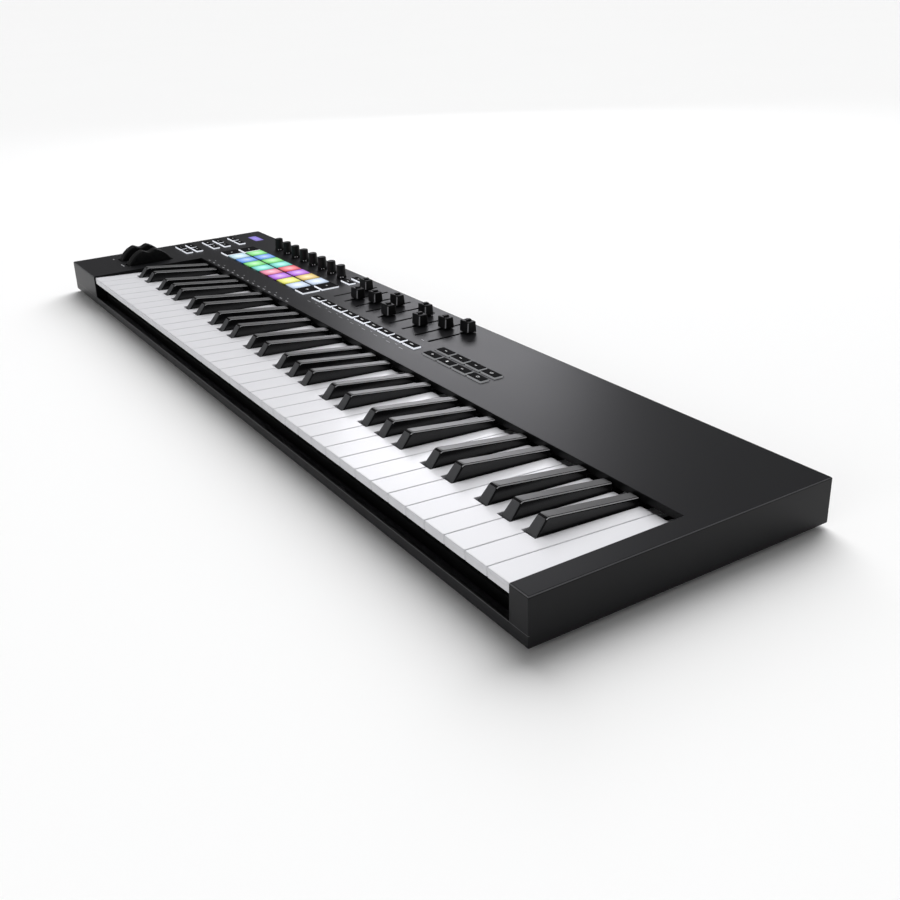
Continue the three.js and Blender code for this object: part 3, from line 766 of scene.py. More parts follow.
@dataclass(frozen=True)
class DisplayFinish:
    """A small dot-matrix display: a violet field with plain pale bars in two lines."""

    name: str = "display_glow"
    field_colour: Colour = (0.36, 0.28, 0.88)
    bar_colour: Colour = (0.85, 0.84, 1.0)
    strength: float = 1.0

    def material(self) -> bpy.types.Material:
        """The finished material, built once."""
        made = Recipe(self.name)
        tree = made.tree
        uv = made.uv()
        bars = tree.nodes.new("ShaderNodeTexBrick")
        for label, value in (("Color1", (1.0, 1.0, 1.0, 1.0)), ("Color2", (0.1, 0.1, 0.1, 1.0)),
                             ("Mortar", (0.0, 0.0, 0.0, 1.0)), ("Scale", 1.0), ("Mortar Size", 0.09),
                             ("Brick Width", 0.19), ("Row Height", 0.34)):
            bars.inputs[label].default_value = value
        made.link(uv, bars.inputs["Vector"])
        spot = made.spot(uv, 0.85)
        edge_colour = tuple(0.35 * c for c in self.field_colour)
        back = made.mix(spot, edge_colour, self.field_colour)
        shown = made.mix(math_node(tree, "MULTIPLY", bars.outputs["Color"], spot), back, self.bar_colour)
        made.link(shown, made.surface.inputs["Emission Color"])
        made.surface.inputs["Emission Strength"].default_value = self.strength
        made.surface.inputs["Base Color"].default_value = (0.01, 0.01, 0.03, 1.0)
        made.surface.inputs["Roughness"].default_value = 0.12
        return made.material


@dataclass(frozen=True)
class BoardFinish(Finish):
    """A green circuit board with copper tracks under its lacquer."""

    track_scale: float = 160.0
    track_colour: Colour = (0.03, 0.2, 0.08)

    def recipe(self) -> Recipe:
        """Adds the tracks to the plain finish."""
        made = super().recipe()
        tree = made.tree
        tracks = tree.nodes.new("ShaderNodeTexVoronoi")
        tracks.distance = "CHEBYCHEV"
        tracks.feature = "F1"
        tracks.inputs["Scale"].default_value = self.track_scale
        made.link(made.place, tracks.inputs["Vector"])
        lines = math_node(tree, "GREATER_THAN",
                          math_node(tree, "PINGPONG", tracks.outputs["Distance"], 0.11), 0.08)
        made.over(lines, self.track_colour)
        return made


@dataclass(frozen=True)
class SharpFinish(Finish):
    """A black key: glossy sides, a satin top and a grained slanted front, both lightened by painted sheen,
    and long top edges with a painted highlight.
    """

    # The top's and the front's colours are painted sheen, far lighter than the sides' black.
    top_sheen_colour: Colour = (0.085, 0.085, 0.087)
    top_roughness: float = 0.36
    front_sheen_colour: Colour = (0.085, 0.086, 0.090)
    front_roughness: float = 0.5
    # The edge colour is a painted highlight along the long top edges.
    edge_colour: Colour = (0.55, 0.55, 0.56)
    edge_roughness: float = 0.25

    def recipe(self) -> Recipe:
        """Lays the top's and the front's roughness with their painted sheen, and the long edges' painted
        highlight, over the sides' finish.
        """
        made = super().recipe()
        tree = made.tree
        face = tree.nodes.new("ShaderNodeAttribute")
        face.attribute_name = "key_face"
        parts = tree.nodes.new("ShaderNodeSeparateColor")
        made.link(face.outputs["Color"], parts.inputs[0])
        # Red marks the top's painted sheen, green the front's painted sheen, blue the edges' painted
        # highlight.
        for mask, colour, roughness in (
            (parts.outputs["Red"], self.top_sheen_colour, self.top_roughness),
            (parts.outputs["Green"], self.front_sheen_colour, self.front_roughness),
            (parts.outputs["Blue"], self.edge_colour, self.edge_roughness),
        ):
            made.over(mask, colour)
            level = tree.nodes.new("ShaderNodeMix")
            level.inputs[3].default_value = roughness
            made.link(mask, level.inputs[0])
            made.link(made.surface.inputs["Roughness"].links[0].from_socket, level.inputs[2])
            made.link(level.outputs[0], made.surface.inputs["Roughness"])
        return made


CASE = SeamedFinish("charcoal_case", (0.0125, 0.0125, 0.0138), (0.0155, 0.0155, 0.017), 0.38, 0.05, 9.0,
                    2200.0, 0.22, 0.05, specular=0.14)
COVER = Finish("black_underside", (0.022, 0.022, 0.024), (0.028, 0.028, 0.030), 0.6, 0.08, 12.0, 1500.0,
               0.3, 0.06)
WHITE_KEY = Finish("white_key_plastic", (0.71, 0.71, 0.74), (0.74, 0.74, 0.765), 0.32, 0.06, 25.0, 900.0,
                   0.05, 0.02, specular=0.4, coat=0.08, coat_roughness=0.1)
BLACK_KEY = SharpFinish("black_key_plastic", (0.004, 0.004, 0.0045), (0.006, 0.006, 0.0065), 0.2, 0.06, 30.0,
                        2600.0, 0.12, 0.03, specular=0.4)
RUBBER = Finish("soft_black_rubber", (0.005, 0.005, 0.0055), (0.008, 0.008, 0.0085), 0.5, 0.1, 40.0, 1800.0,
                0.25, 0.05, specular=0.3)
FOOT_RUBBER = Finish("foot_rubber", (0.018, 0.018, 0.018), (0.026, 0.026, 0.026), 0.85, 0.1, 60.0, 900.0,
                     0.4, 0.1)
BUTTON_FACE = Finish("black_button_face", (0.005, 0.005, 0.0055), (0.008, 0.008, 0.0085), 0.75, 0.08, 40.0,
                     2200.0, 0.1, 0.03, specular=0.04)
INNER_FRAME = Finish("inner_black_moulding", (0.003, 0.003, 0.0032), (0.005, 0.005, 0.0052), 0.7, 0.1, 20.0,
                     1400.0, 0.3, specular=0.2)
STEEL = Finish("plain_steel", (0.52, 0.53, 0.55), (0.60, 0.61, 0.63), 0.32, 0.12, 70.0, 2600.0, 0.1,
               0.03, 1.0)
BOARD = BoardFinish("green_board", (0.012, 0.07, 0.03), (0.016, 0.085, 0.036), 0.35, 0.1, 60.0, 1500.0, 0.2)
PRINT = Finish("pale_print", (0.38, 0.38, 0.40), (0.44, 0.44, 0.46), 0.6, 0.1, 300.0, 3000.0, 0.1, 0.02)
ICON = LitFinish("lit_icon", (0.5, 0.5, 0.5), (0.6, 0.6, 0.6), 0.5, glow=(0.8, 0.83, 0.9), strength=0.12)
MARK = Finish("white_mark", (0.75, 0.75, 0.77), (0.8, 0.8, 0.82), 0.5, 0.05, 200.0, 2000.0, 0.1, 0.02)


class Glow(Enum):
    """How brightly a button's rim is lit."""

    BRIGHT = LitFinish("bright_rim", (0.55, 0.56, 0.60), (0.62, 0.63, 0.66), 0.45, glow=(0.85, 0.88, 0.95),
                       strength=0.85)
    DIM = LitFinish("dim_rim", (0.21, 0.215, 0.225), (0.25, 0.255, 0.265), 0.45, glow=(0.62, 0.63, 0.65),
                    strength=0.3)


# -------------------------------------------------------------------------------------------- assemblies


@dataclass
class Workshop:
    """What every sub-assembly shares: the frame, the repeaters and the log of pieces."""

    frame: dict
    rows: Rows
    ring: Ring

    def add(self, piece: bpy.types.Object, body: str, slot: str, *nodes: str) -> bpy.types.Object:
        """Lets a piece ride on a body and stand for its CAD nodes."""
        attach(piece, body)
        if nodes:
            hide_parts(*nodes)
        LOG.info("piece %s rides on %s, %d faces", piece.name, body, len(piece.data.polygons))
        return piece

    def dress(self, node: str, material: bpy.types.Material) -> None:
        """Gives a CAD node that stays in view its material."""
        mesh = self.frame["nodes"][node].data
        mesh.materials.clear()
        mesh.materials.append(material)
        LOG.info("node %s wears %s", node, material.name)

    @property
    def panel(self) -> float:
        """The height of the panel's top, in millimetres."""
        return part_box("case_shell")[1].z / MM

    @property
    def front(self) -> float:
        """Where the case's front is along Y, in millimetres."""
        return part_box("case_shell")[0].y / MM

    def middle(self, node: str) -> Vector:
        """The middle of a CAD node's box, in millimetres."""
        low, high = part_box(node)
        return (low + high) / 2 / MM


@dataclass
class Case:
    """The shell with its panel, the underside, feet, screws and printed marks."""

    shop: Workshop
    edge: float = 0.35
    foot_profile: tuple[Point2, ...] = ((0.01, 0.0), (6.6, 0.0), (7.4, 0.25), (8.3, 1.0), (8.8, 2.2),
                                        (9.0, 2.9), (0.01, 2.9))
    screw_pitch: float = 148.0
    screw_columns: int = 7

    def build(self) -> None:
        """Builds every piece of the case."""
        nodes = self.shop.frame["nodes"]
        shell = softened(nodes["case_shell"], "case_body", CASE.material(), self.edge)
        self.shop.add(shell, "case", "case", "case_shell")
        cover = softened(nodes["bottom_cover"], "underside_plate", COVER.material(), 0.3)
        self.shop.add(cover, "case", "cover", "bottom_cover")
        for corner in ("front_left", "front_right", "rear_left", "rear_right"):
            self.foot(corner)
        self.screws()
        self.prints()

    def foot(self, corner: str) -> None:
        """Builds one rubber foot with a flat underside and rounded edges."""
        node = f"foot_{corner}"
        middle = self.shop.middle(node)
        draft = Draft()
        draft.turned(self.foot_profile, (middle.x, middle.y, 0.0), 40)
        self.shop.add(draft.build(f"rubber_{node}", FOOT_RUBBER.material()), "case", "rubber", node)

    def screws(self) -> None:
        """Lays the rows of cross-head screws in the underside."""
        head = Draft()
        head.turned([(0.01, -0.5), (3.0, -0.5), (3.0, 0.35), (2.3, 0.9), (0.01, 1.1)], (0, 0, 0), 16)
        row_step = 206.0
        start = (-self.screw_pitch * (self.screw_columns - 1) / 2, -row_step / 2, 3.0)
        screw = head.build("screw_draft", STEEL.material())
        screw.data.transform(Matrix.Scale(-1, 4, Vector((0, 0, 1))))
        screw.data.flip_normals()
        grid = (start, self.screw_columns, self.screw_pitch, 2, row_step)
        self.shop.add(self.shop.rows.lay("underside_screws", screw, *grid), "case", "steel")
        # Each cross is a thin near-black block just proud of the head's face: painted shade standing in for
        # the cross-shaped recess.
        cross = Draft()
        cross.block((-1.6, -0.35, -1.16), (1.6, 0.35, -0.9))
        cross.block((-0.35, -1.6, -1.17), (0.35, 1.6, -0.9))
        recess_shade = cross.build("cross_draft", INNER_FRAME.material())
        self.shop.add(self.shop.rows.lay("screw_recesses", recess_shade, *grid), "case", "frame")

    def dash(self, width: float, depth: float) -> bpy.types.Object:
        """One printed dash, drawn about the origin."""
        draft = Draft()
        draft.block((-width / 2, -depth / 2, 0.0), (width / 2, depth / 2, 0.06))
        return draft.build("dash_draft", PRINT.material())

    def prints(self) -> None:
        """Lays the small printed marks on the panel. They are plain dashes, not words."""
        for name, size, x, y, count, step in (
            ("key_mode_marks", (5.2, 0.9), -368.0, 141.3, 16, 15.2),
            ("key_mode_dots", (2.6, 0.7), -361.0, 146.6, 8, 30.4),
            ("fader_marks", (7.0, 0.4), -124.0, 160.6, 9, 24.3),
            ("fader_dots", (3.6, 0.5), -112.6, 163.2, 8, 24.3),
            ("fader_tick", (4.2, 0.8), 63.4, 189.2, 1, 1.0),
            ("pitch_dot", (2.6, 1.6), -455.0, 45.0, 1, 1.0),
            ("mod_dash", (12.0, 1.1), -416.5, 45.0, 1, 1.0),
        ):
            start = (x, self.shop.front + y, self.shop.panel)
            marks = self.shop.rows.lay(name, self.dash(*size), start, count, step)
            self.shop.add(marks, "case", "rim")


@dataclass
class Keybed:
    """The white and black keys on their moulded combs, and what lies under them."""

    shop: Workshop
    pitch: float = 23.5
    octaves: int = 5
    notch: float = 13.0
    gap: float = 0.9
    eased_gap: float = 0.4
    notch_gap: float = 0.7
    head_gap: float = 0.7
    front: float = 1.5
    head: float = 48.5
    plateau: float = 135.8
    top: float = 36.9
    slope: float = 0.05
    lip: float = 7.3
    neck_start: float = 118.0
    neck_top: float = 27.2
    sharp_width: float = 11.2
    sharp_top_width: float = 9.2
    sharp_rear: float = 137.0
    crown: Point2 = (44.6, 35.5)
    spine_front: float = 152.0
    spine_rear: float = 159.0
    spine_thickness: float = 2.2
    levels: dict[str, float] = field(default_factory=lambda: {"cegb": 22.6, "dfa": 25.4, "sharps": 28.2})

    def __post_init__(self) -> None:
        """Places the keybed in the frame and works out the octave's tails and notches."""
        self.origin_y = self.shop.front
        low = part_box("naturals_cegb_1")[0].x / MM
        self.left = low - self.gap / 2
        wide = (3 * self.pitch - 2 * self.notch) / 3
        narrow = (4 * self.pitch - 3 * self.notch) / 4
        self.tails: list[Point2] = []
        self.notches: list[Point2] = []
        x = 0.0
        for i in range(7):
            tail = wide if i < 3 else narrow
            self.tails.append((x, x + tail))
            x += tail
            if i not in (2, 6):
                self.notches.append((x, x + self.notch))
                x += self.notch

    def build(self) -> None:
        """Builds every comb and dresses the parts under the keys."""
        for octave in range(self.octaves):
            left = self.left + octave * 7 * self.pitch
            for kind, indices in (("cegb", (0, 2, 4, 6)), ("dfa", (1, 3, 5))):
                self.naturals(f"naturals_{kind}_{octave + 1}", left, indices, self.levels[kind])
            self.sharps(f"sharps_{octave + 1}", left)
        self.top_key()
        self.shop.dress("keybed_frame", INNER_FRAME.material())
        self.shop.dress("key_contact_board", BOARD.material())
        self.shop.dress("contact_rubber", RUBBER.material())

    def white_outline(self, left: float, tail: Point2) -> list[Point2]:
        """The plan of one white key, its head first and its tail between the black keys."""
        half = self.eased_gap / 2
        right = left + self.pitch
        x0 = tail[0] + (self.notch_gap if tail[0] > left + 0.1 else half)
        x1 = tail[1] - (self.notch_gap if tail[1] < right - 0.1 else half)
        head = self.head - self.head_gap
        y = self.origin_y
        corners = [(left + half, y + self.front, 1.0), (right - half, y + self.front, 1.0)]
        if tail[1] < right - 0.1:
            corners += [(right - half, y + head, 1.0), (x1, y + head, 0.5)]
        corners += [(x1, y + self.plateau, 1.6), (x0, y + self.plateau, 1.6)]
        if tail[0] > left + 0.1:
            corners += [(x0, y + head, 0.5), (left + half, y + head, 1.0)]
        return rounded(corners)

    def white_top(self, y: float) -> float:
        """The height of the white keys' sloping top at a depth from the case's front."""
        return self.top - self.slope * (y - self.front)

    def white_key(self, draft: Draft, left: float, tail: Point2, level: float) -> None:
        """Draws one white key with its lip, rounded top edge and neck."""
        top, low = self.top, self.top - self.lip
        profile = [(0.45, low), (0.1, low + 0.3), (0.0, low + 0.8), (0.0, top - 2.75), (0.16, top - 2.7),
                   (0.16, top - 2.5), (0.0, top - 2.4), (0.0, top - 0.75), (0.07, top - 0.42),
                   (0.22, top - 0.18), (0.42, top - 0.05), (0.7, top)]
        outline = self.white_outline(left, tail)
        rings = []
        for depth, z in profile:
            rings.append([(x, y, z - top + self.white_top(y - self.origin_y))
                          for x, y in inset(outline, depth)])
        draft.rings(rings)
        end = self.white_top(self.plateau) - self.lip + 0.4
        start = self.white_top(self.neck_start) - self.lip + 0.4
        y = self.origin_y
        self.neck(draft, (tail[0] + tail[1]) / 2, 4.8, level,
                  [(y + self.neck_start, start), (y + self.plateau, end)],
                  [(y + 138, self.neck_top), (y + self.neck_start, self.neck_top)])

    def neck(self, draft: Draft, middle: float, half: float, level: float, under: list[Point2],
             over: list[Point2]) -> None:
        """Draws a key's neck back to its comb, from the start of its underside to the end of its top."""
        y = self.origin_y
        rise = level + self.spine_thickness
        rear = [(y + self.spine_front - 3, level), (y + self.spine_front + 1, level),
                (y + self.spine_front + 1, rise), (y + self.spine_front - 1, rise)]
        draft.across([*under, *rear, *over], [(0.0, middle - half), (0.0, middle + half)])

    def spine(self, draft: Draft, left: float, right: float, level: float) -> None:
        """Draws the bar that joins the keys of one comb."""
        y = self.origin_y
        draft.block((left, y + self.spine_front, level),
                    (right, y + self.spine_rear, level + self.spine_thickness))

    def naturals(self, node: str, left: float, indices: Sequence[int], level: float) -> None:
        """Builds one comb of white keys."""
        draft = Draft()
        for i in indices:
            tail = (left + self.tails[i][0], left + self.tails[i][1])
            self.white_key(draft, left + i * self.pitch, tail, level)
        self.spine(draft, left + self.tails[indices[0]][0] + 2, left + self.tails[indices[-1]][1] - 2, level)
        piece = draft.build(f"white_keys_{node[9:]}", WHITE_KEY.material(), KEY_ANGLE)
        self.shop.add(piece, node, "white_key", node)

    def top_key(self) -> None:
        """Builds the highest C, which has no black key beside it."""
        left = self.left + self.octaves * 7 * self.pitch
        draft = Draft()
        self.white_key(draft, left, (left, left + self.pitch), self.levels["cegb"])
        self.spine(draft, left + 2, left + self.pitch - 2, self.levels["cegb"])
        piece = draft.build("white_key_top_c", WHITE_KEY.material(), KEY_ANGLE)
        self.shop.add(piece, "natural_top_c", "white_key", "natural_top_c")

    def sharp_outline(self) -> list[Point2]:
        """A black key's side view: slanted front, rounded crown, falling top and the drop at its rear."""
        y = self.origin_y
        foot = self.head + 1.2
        front, rear = self.crown
        return rounded([
            (y + foot, self.white_top(foot) - self.lip, 0.0),
            (y + self.sharp_rear, self.white_top(self.sharp_rear) - self.lip, 0.0),
            (y + self.sharp_rear, rear, 1.0),
            (y + foot + 9.6, front + 0.2, 4.6),
            (y + foot + 0.5, self.white_top(foot) - 0.5, 0.6),
            (y + foot, self.white_top(foot) - 1.5, 0.0),
        ], 5)

    def crown_top(self, y: float) -> float:
        """The height of the black keys' falling crown at a depth from the case's front."""
        start = self.head + 11.9
        share = max(0.0, y - start) / (self.sharp_rear - start)
        return self.crown[0] + (self.crown[1] - self.crown[0]) * share

    def sharp_key(self, draft: Draft, middle: float, level: float) -> None:
        """Draws one black key, which narrows towards its crown and has soft side edges."""
        outline = self.sharp_outline()
        steps = [(-1.0, 1.5), (-0.98, 0.85), (-0.9, 0.3), (-0.83, 0.07), (-0.74, 0.0)]
        steps += [(-t, d) for t, d in reversed(steps)]
        rings = []
        for share, depth in steps:
            ring = []
            for y, z in inset(outline, depth):
                base = self.white_top(y - self.origin_y)
                rise = max(0.0, min(1.0, (z - base) / (self.crown_top(y - self.origin_y) - base)))
                half = (self.sharp_width + (self.sharp_top_width - self.sharp_width) * rise) / 2
                ring.append((middle + share * half, y, z))
            rings.append(ring)
        draft.rings(rings)
        y = self.origin_y
        start = self.sharp_rear - 15
        over = self.levels["sharps"] + self.spine_thickness - 0.2
        self.neck(draft, middle, 4.0, level, [(y + start, self.white_top(start) - self.lip + 0.4)],
                  [(y + start, over)])

    def sharp_face(self, place: Vector, normal: Vector) -> tuple[float, float, float]:
        """Tells apart a black key's satin top and grained front, which get painted sheen, and its long top
        edges, which get a painted highlight.
        """
        top = 1.0 if normal.z > 0.97 else 0.0
        front = 1.0 if normal.y < -0.6 and normal.z > 0.2 else 0.0
        edge = 1.0 if 0.3 < normal.z < 0.75 and abs(normal.x) > 0.5 and abs(normal.y) < 0.3 else 0.0
        return (top, front, edge)

    def sharps(self, node: str, left: float) -> None:
        """Builds one comb of black keys."""
        draft = Draft()
        middles = [left + (a + b) / 2 for a, b in self.notches]
        for middle in middles:
            self.sharp_key(draft, middle, self.levels["sharps"])
        self.spine(draft, middles[0] - 4, middles[-1] + 4, self.levels["sharps"])
        # The key_face colours say where the black keys' painted sheen and painted edge highlight go.
        draft.tint("key_face", self.sharp_face)
        piece = draft.build(f"black_keys_{node[7:]}", BLACK_KEY.material(), KEY_ANGLE)
        self.shop.add(piece, node, "black_key", node)


@dataclass
class BenderWheels:
    """The pitch and modulation wheels on their bracket."""

    shop: Workshop
    radius: float = 30.0
    width: float = 13.0
    span: float = 98.0
    notch_angle: float = 17.0
    notch_depth: float = 4.2
    hub: float = 9.0
    axle: float = 25.5

    def point(self, radius: float, degrees: float) -> Point2:
        """A point of the wheel's side view; 0 degrees is up and positive angles lean back."""
        angle = math.radians(degrees)
        return (math.sin(angle) * radius, math.cos(angle) * radius)

    def outline(self) -> list[Point2]:
        """The wheel's side view: a sector with a soft finger notch at the top, counter-clockwise."""
        points = [self.point(self.radius, -self.span + i * (self.span - self.notch_angle) / 20)
                  for i in range(21)]
        for i in range(1, 16):
            share = i / 16
            angle = -self.notch_angle + 2 * self.notch_angle * share
            dip = math.sin(math.pi * share) ** 1.3 * self.notch_depth
            points.append(self.point(self.radius - dip, angle))
        points += [self.point(self.radius, self.notch_angle + i * (self.span - self.notch_angle) / 20)
                   for i in range(21)]
        points += [self.point(self.hub, 130 + i * 100 / 8) for i in range(9)]
        return list(reversed(points))

    def build(self) -> None:
        """Builds both wheels and dresses their bracket."""
        low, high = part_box("wheel_bracket")
        centre_y = (low.y + high.y) / 2 / MM
        for node in ("pitch_wheel", "mod_wheel"):
            middle = self.shop.middle(node).x
            half = self.width / 2
            steps = [(1.3, -half), (0.5, -half + 0.25), (0.12, -half + 0.75), (0.0, -half + 1.5)]
            steps += [(d, -x) for d, x in reversed(steps)]
            draft = Draft()
            draft.across(self.outline(), [(d, middle + x) for d, x in steps], (centre_y, self.axle))
            piece = draft.build(f"{node}_rubber", RUBBER.material(), KEY_ANGLE)
            self.shop.add(piece, node, "rubber", node)
        self.shop.dress("wheel_bracket", STEEL.material())


class Icon(Enum):
    """The plain symbols on the buttons."""

    DASH = "dash"
    PLUS = "plus"
    PLAY = "play"
    STOP = "stop"
    DOT = "dot"
    BARS = "bars"
    DOWN = "down"
    LOOP = "loop"


@dataclass
class Buttons:
    """The silicone button mats with their black faces, lit rims and plain symbols."""

    shop: Workshop
    rise: float = 1.3
    border: float = 0.3
    web_low: float = 33.2
    web_high: float = 34.4
    arrows: dict[Icon, list[Point2]] = field(default_factory=lambda: {
        Icon.PLAY: [(-0.7, -0.8), (0.8, 0.0), (-0.7, 0.8)],
        Icon.DOWN: [(0.0, -0.7), (0.8, 0.6), (-0.8, 0.6)],
    })

    def __post_init__(self) -> None:
        """Finds the button tops and the pad columns."""
        self.top = self.shop.panel + self.rise
        first = self.shop.middle("knob_1").x
        last = self.shop.middle("knob_8").x
        self.pad_pitch = (last - first) / 7
        self.side_left = first - self.pad_pitch
        self.side_right = last + self.pad_pitch

    def rim(self, size: Point2) -> bpy.types.Object:
        """The milky rim and skirt of one button, drawn about the origin."""
        draft = Draft()
        top = self.top
        draft.upright(rectangle(*size, 1.2),
                      [(0.0, self.web_high - 0.4), (0.0, top - 0.35), (0.1, top - 0.1), (0.35, top)])
        return draft.build("rim_draft", Glow.BRIGHT.value.material())

    def face(self, size: Point2) -> bpy.types.Object:
        """The black face of one button, drawn about the origin."""
        draft = Draft()
        top = self.top
        outline = rectangle(size[0] - 2 * self.border, size[1] - 2 * self.border, 0.8)
        draft.upright(outline, [(0.0, top - 0.3), (0.0, top + 0.1), (0.15, top + 0.22), (0.4, top + 0.26)])
        return draft.build("face_draft", BUTTON_FACE.material())

    def symbol(self, draft: Draft, icon: Icon, at: Point2, size: float) -> None:
        """Draws one symbol on a face."""
        low, high = self.top + 0.2, self.top + 0.32
        x, y = at
        a, b = size, size * 0.22
        if icon in (Icon.DASH, Icon.PLUS, Icon.BARS):
            draft.block((x - a, y - b, low), (x + a, y + b, high))
        if icon is Icon.PLUS:
            draft.block((x - b, y - a, low), (x + b, y + a, high + 0.01))
        if icon is Icon.BARS:
            for middle in (x - a * 0.7, x + a * 0.7):
                draft.block((middle - b, y - a * 0.7, low), (middle + b, y + a * 0.7, high + 0.01))
        if icon in self.arrows:
            corners = [(p * a, q * a) for p, q in self.arrows[icon]]
            draft.upright(corners, [(0.0, low), (0.0, high)], at)
        if icon is Icon.STOP:
            draft.block((x - a * 0.7, y - a * 0.7, low), (x + a * 0.7, y + a * 0.7, high), 0.0)
        if icon is Icon.DOT:
            draft.turned([(0.01, low), (a * 0.75, low), (a * 0.75, high), (0.01, high)], (x, y, 0), 16)
        if icon is Icon.LOOP:
            outer = rectangle(2.2 * a, 1.4 * a, 0.5 * a, at)
            inner = inset(outer, 0.28 * a)
            levels = ((outer, low), (outer, high), (inner, high), (inner, low), (outer, low))
            draft.rings([[(p, q, z) for p, q in ring] for ring, z in levels], closed=False)

    def mat(self, body: str, glow: Glow, blocks: Sequence[tuple[Point2, Point2, int, float, int, float]],
            icons: Sequence[Icon], icon_size: float = 1.5) -> None:
        """Builds one mat.

        Args:
            body: the CAD body, which is also its only node.
            glow: how brightly its rims are lit.
            blocks: (size, first centre, columns, column pitch, rows, row pitch) of each group of buttons.
            icons: the symbols, in the order in which the groups list their buttons.
            icon_size: half the width of a symbol.
        """
        low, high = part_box(body)
        web = Draft()
        web.block((low.x / MM, low.y / MM, self.web_low), (high.x / MM, high.y / MM, self.web_high))
        self.shop.add(web.build(f"{body}_web", RUBBER.material()), body, "rim", body)
        marks = Draft()
        number = 0
        for k, (size, first, columns, step, rows, row_step) in enumerate(blocks):
            grid = ((*first, 0.0), columns, step, rows, row_step)
            rims = self.shop.rows.lay(f"{body}_rims_{k + 1}", self.rim(size), *grid)
            rims.data.materials[0] = glow.value.material()
            self.shop.add(rims, body, "rim")
            faces = self.shop.rows.lay(f"{body}_faces_{k + 1}", self.face(size), *grid)
            self.shop.add(faces, body, "frame")
            for row in range(rows):
                for column in range(columns):
                    at = (first[0] + column * step, first[1] + row * row_step)
                    self.symbol(marks, icons[number % len(icons)], at, icon_size)
                    number += 1
        self.shop.add(marks.build(f"{body}_symbols", ICON.material()), body, "rim")

    def build(self) -> None:
        """Builds all the button mats."""
        f = self.shop.front
        small, large, wide = (21.4, 8.6), (21.8, 21.4), (21.8, 9.6)
        left = -454.3
        self.mat("octave_button_mat", Glow.BRIGHT, [(small, (left, f + 135.1), 2, 23.4, 2, 13.7)],
                 [Icon.DASH, Icon.PLUS, Icon.DOWN, Icon.PLAY])
        self.mat("mode_button_mat", Glow.BRIGHT, [(small, (left, f + 172.2), 2, 23.4, 2, 15.1),
                                                  (small, (left, f + 208.4), 2, 23.4, 1, 1.0)],
                 [Icon.DOT, Icon.STOP, Icon.PLUS, Icon.PLAY, Icon.DASH])
        self.mat("scene_button_mat", Glow.BRIGHT, [(large, (self.side_left, f + 177.75), 1, 1.0, 2, 24.0)],
                 [Icon.DOT, Icon.PLAY])
        self.mat("launch_button_mat", Glow.BRIGHT, [(large, (self.side_right, f + 177.75), 1, 1.0, 2, 24.0),
                                                    (small, (self.side_right, f + 229.6), 1, 1.0, 2, 13.6)],
                 [Icon.BARS, Icon.DOWN, Icon.DASH, Icon.DASH], 1.8)
        self.mat("fader_button_mat", Glow.BRIGHT, [(small, (-26.8 - 4 * 24.3, f + 172.6), 9, 24.3, 1, 1.0)],
                 [Icon.DASH], 2.6)
        self.mat("transport_button_mat", Glow.DIM,
                 [(wide, (143.6 - 1.5 * 24.2, f + 172.8), 4, 24.2, 2, 14.6)],
                 [Icon.PLAY, Icon.STOP, Icon.DASH, Icon.LOOP, Icon.DASH, Icon.DASH, Icon.DASH, Icon.LOOP],
                 1.7)


class PadColour(Enum):
    """The colours that light the pads."""

    ICE = (0.55, 0.8, 0.9)
    BLUE = (0.1, 0.35, 0.95)
    GREEN = (0.2, 0.85, 0.2)
    AQUA = (0.15, 0.8, 0.7)
    RED = (0.95, 0.08, 0.12)
    PINK = (0.9, 0.2, 0.35)
    PURPLE = (0.5, 0.1, 0.85)
    YELLOW = (0.9, 0.9, 0.1)
    AMBER = (0.85, 0.6, 0.12)
    FROST = (0.62, 0.75, 0.95)


@dataclass
class Pads:
    """Two rows of lit performance pads."""

    shop: Workshop
    size: Point2 = (23.2, 21.7)
    rise: float = 1.5
    front_row: tuple[PadColour, ...] = (PadColour.ICE, PadColour.BLUE, PadColour.GREEN, PadColour.AQUA,
                                        PadColour.PINK, PadColour.PURPLE, PadColour.YELLOW, PadColour.FROST)
    rear_row: tuple[PadColour, ...] = (PadColour.GREEN, PadColour.BLUE, PadColour.GREEN, PadColour.AQUA,
                                       PadColour.RED, PadColour.PURPLE, PadColour.AMBER, PadColour.FROST)

    def build(self) -> None:
        """Builds both rows."""
        self.row("pads_front", self.front_row)
        self.row("pads_rear", self.rear_row)

    def row(self, body: str, colours: Sequence[PadColour]) -> None:
        """Builds one row of pads on its mat."""
        low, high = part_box(body)
        y = (low.y + high.y) / 2 / MM
        columns = [self.shop.middle(f"knob_{i + 1}").x for i in range(8)]
        web = Draft()
        web.block((low.x / MM, low.y / MM, 33.2), (high.x / MM, high.y / MM, 34.4))
        self.shop.add(web.build(f"{body}_web", RUBBER.material()), body, "pad")
        draft = Draft()
        top = self.shop.panel + self.rise
        for x in columns:
            draft.upright(rectangle(*self.size, 1.6),
                          [(0.0, 34.0), (0.0, top - 0.9), (0.12, top - 0.5), (0.4, top - 0.2),
                           (0.9, top - 0.05), (1.5, top)], (x, y))

        def paint(place: Vector, normal: Vector) -> tuple[float, float, float]:
            """The pad's own colour on its top, and a dark trace of it on its walls."""
            colour = colours[min(range(8), key=lambda i: abs(columns[i] - place.x))].value
            share = 1.0 if normal.z > 0.5 else 0.12
            return (colour[0] * share, colour[1] * share, colour[2] * share)

        draft.tint("pad_tint", paint)
        draft.unwrap(self.size, lambda place: (min(columns, key=lambda x: abs(x - place.x)), y))
        self.shop.add(draft.build(f"{body}_silicone", PadFinish().material(), PAD_ANGLE), body, "pad", body)


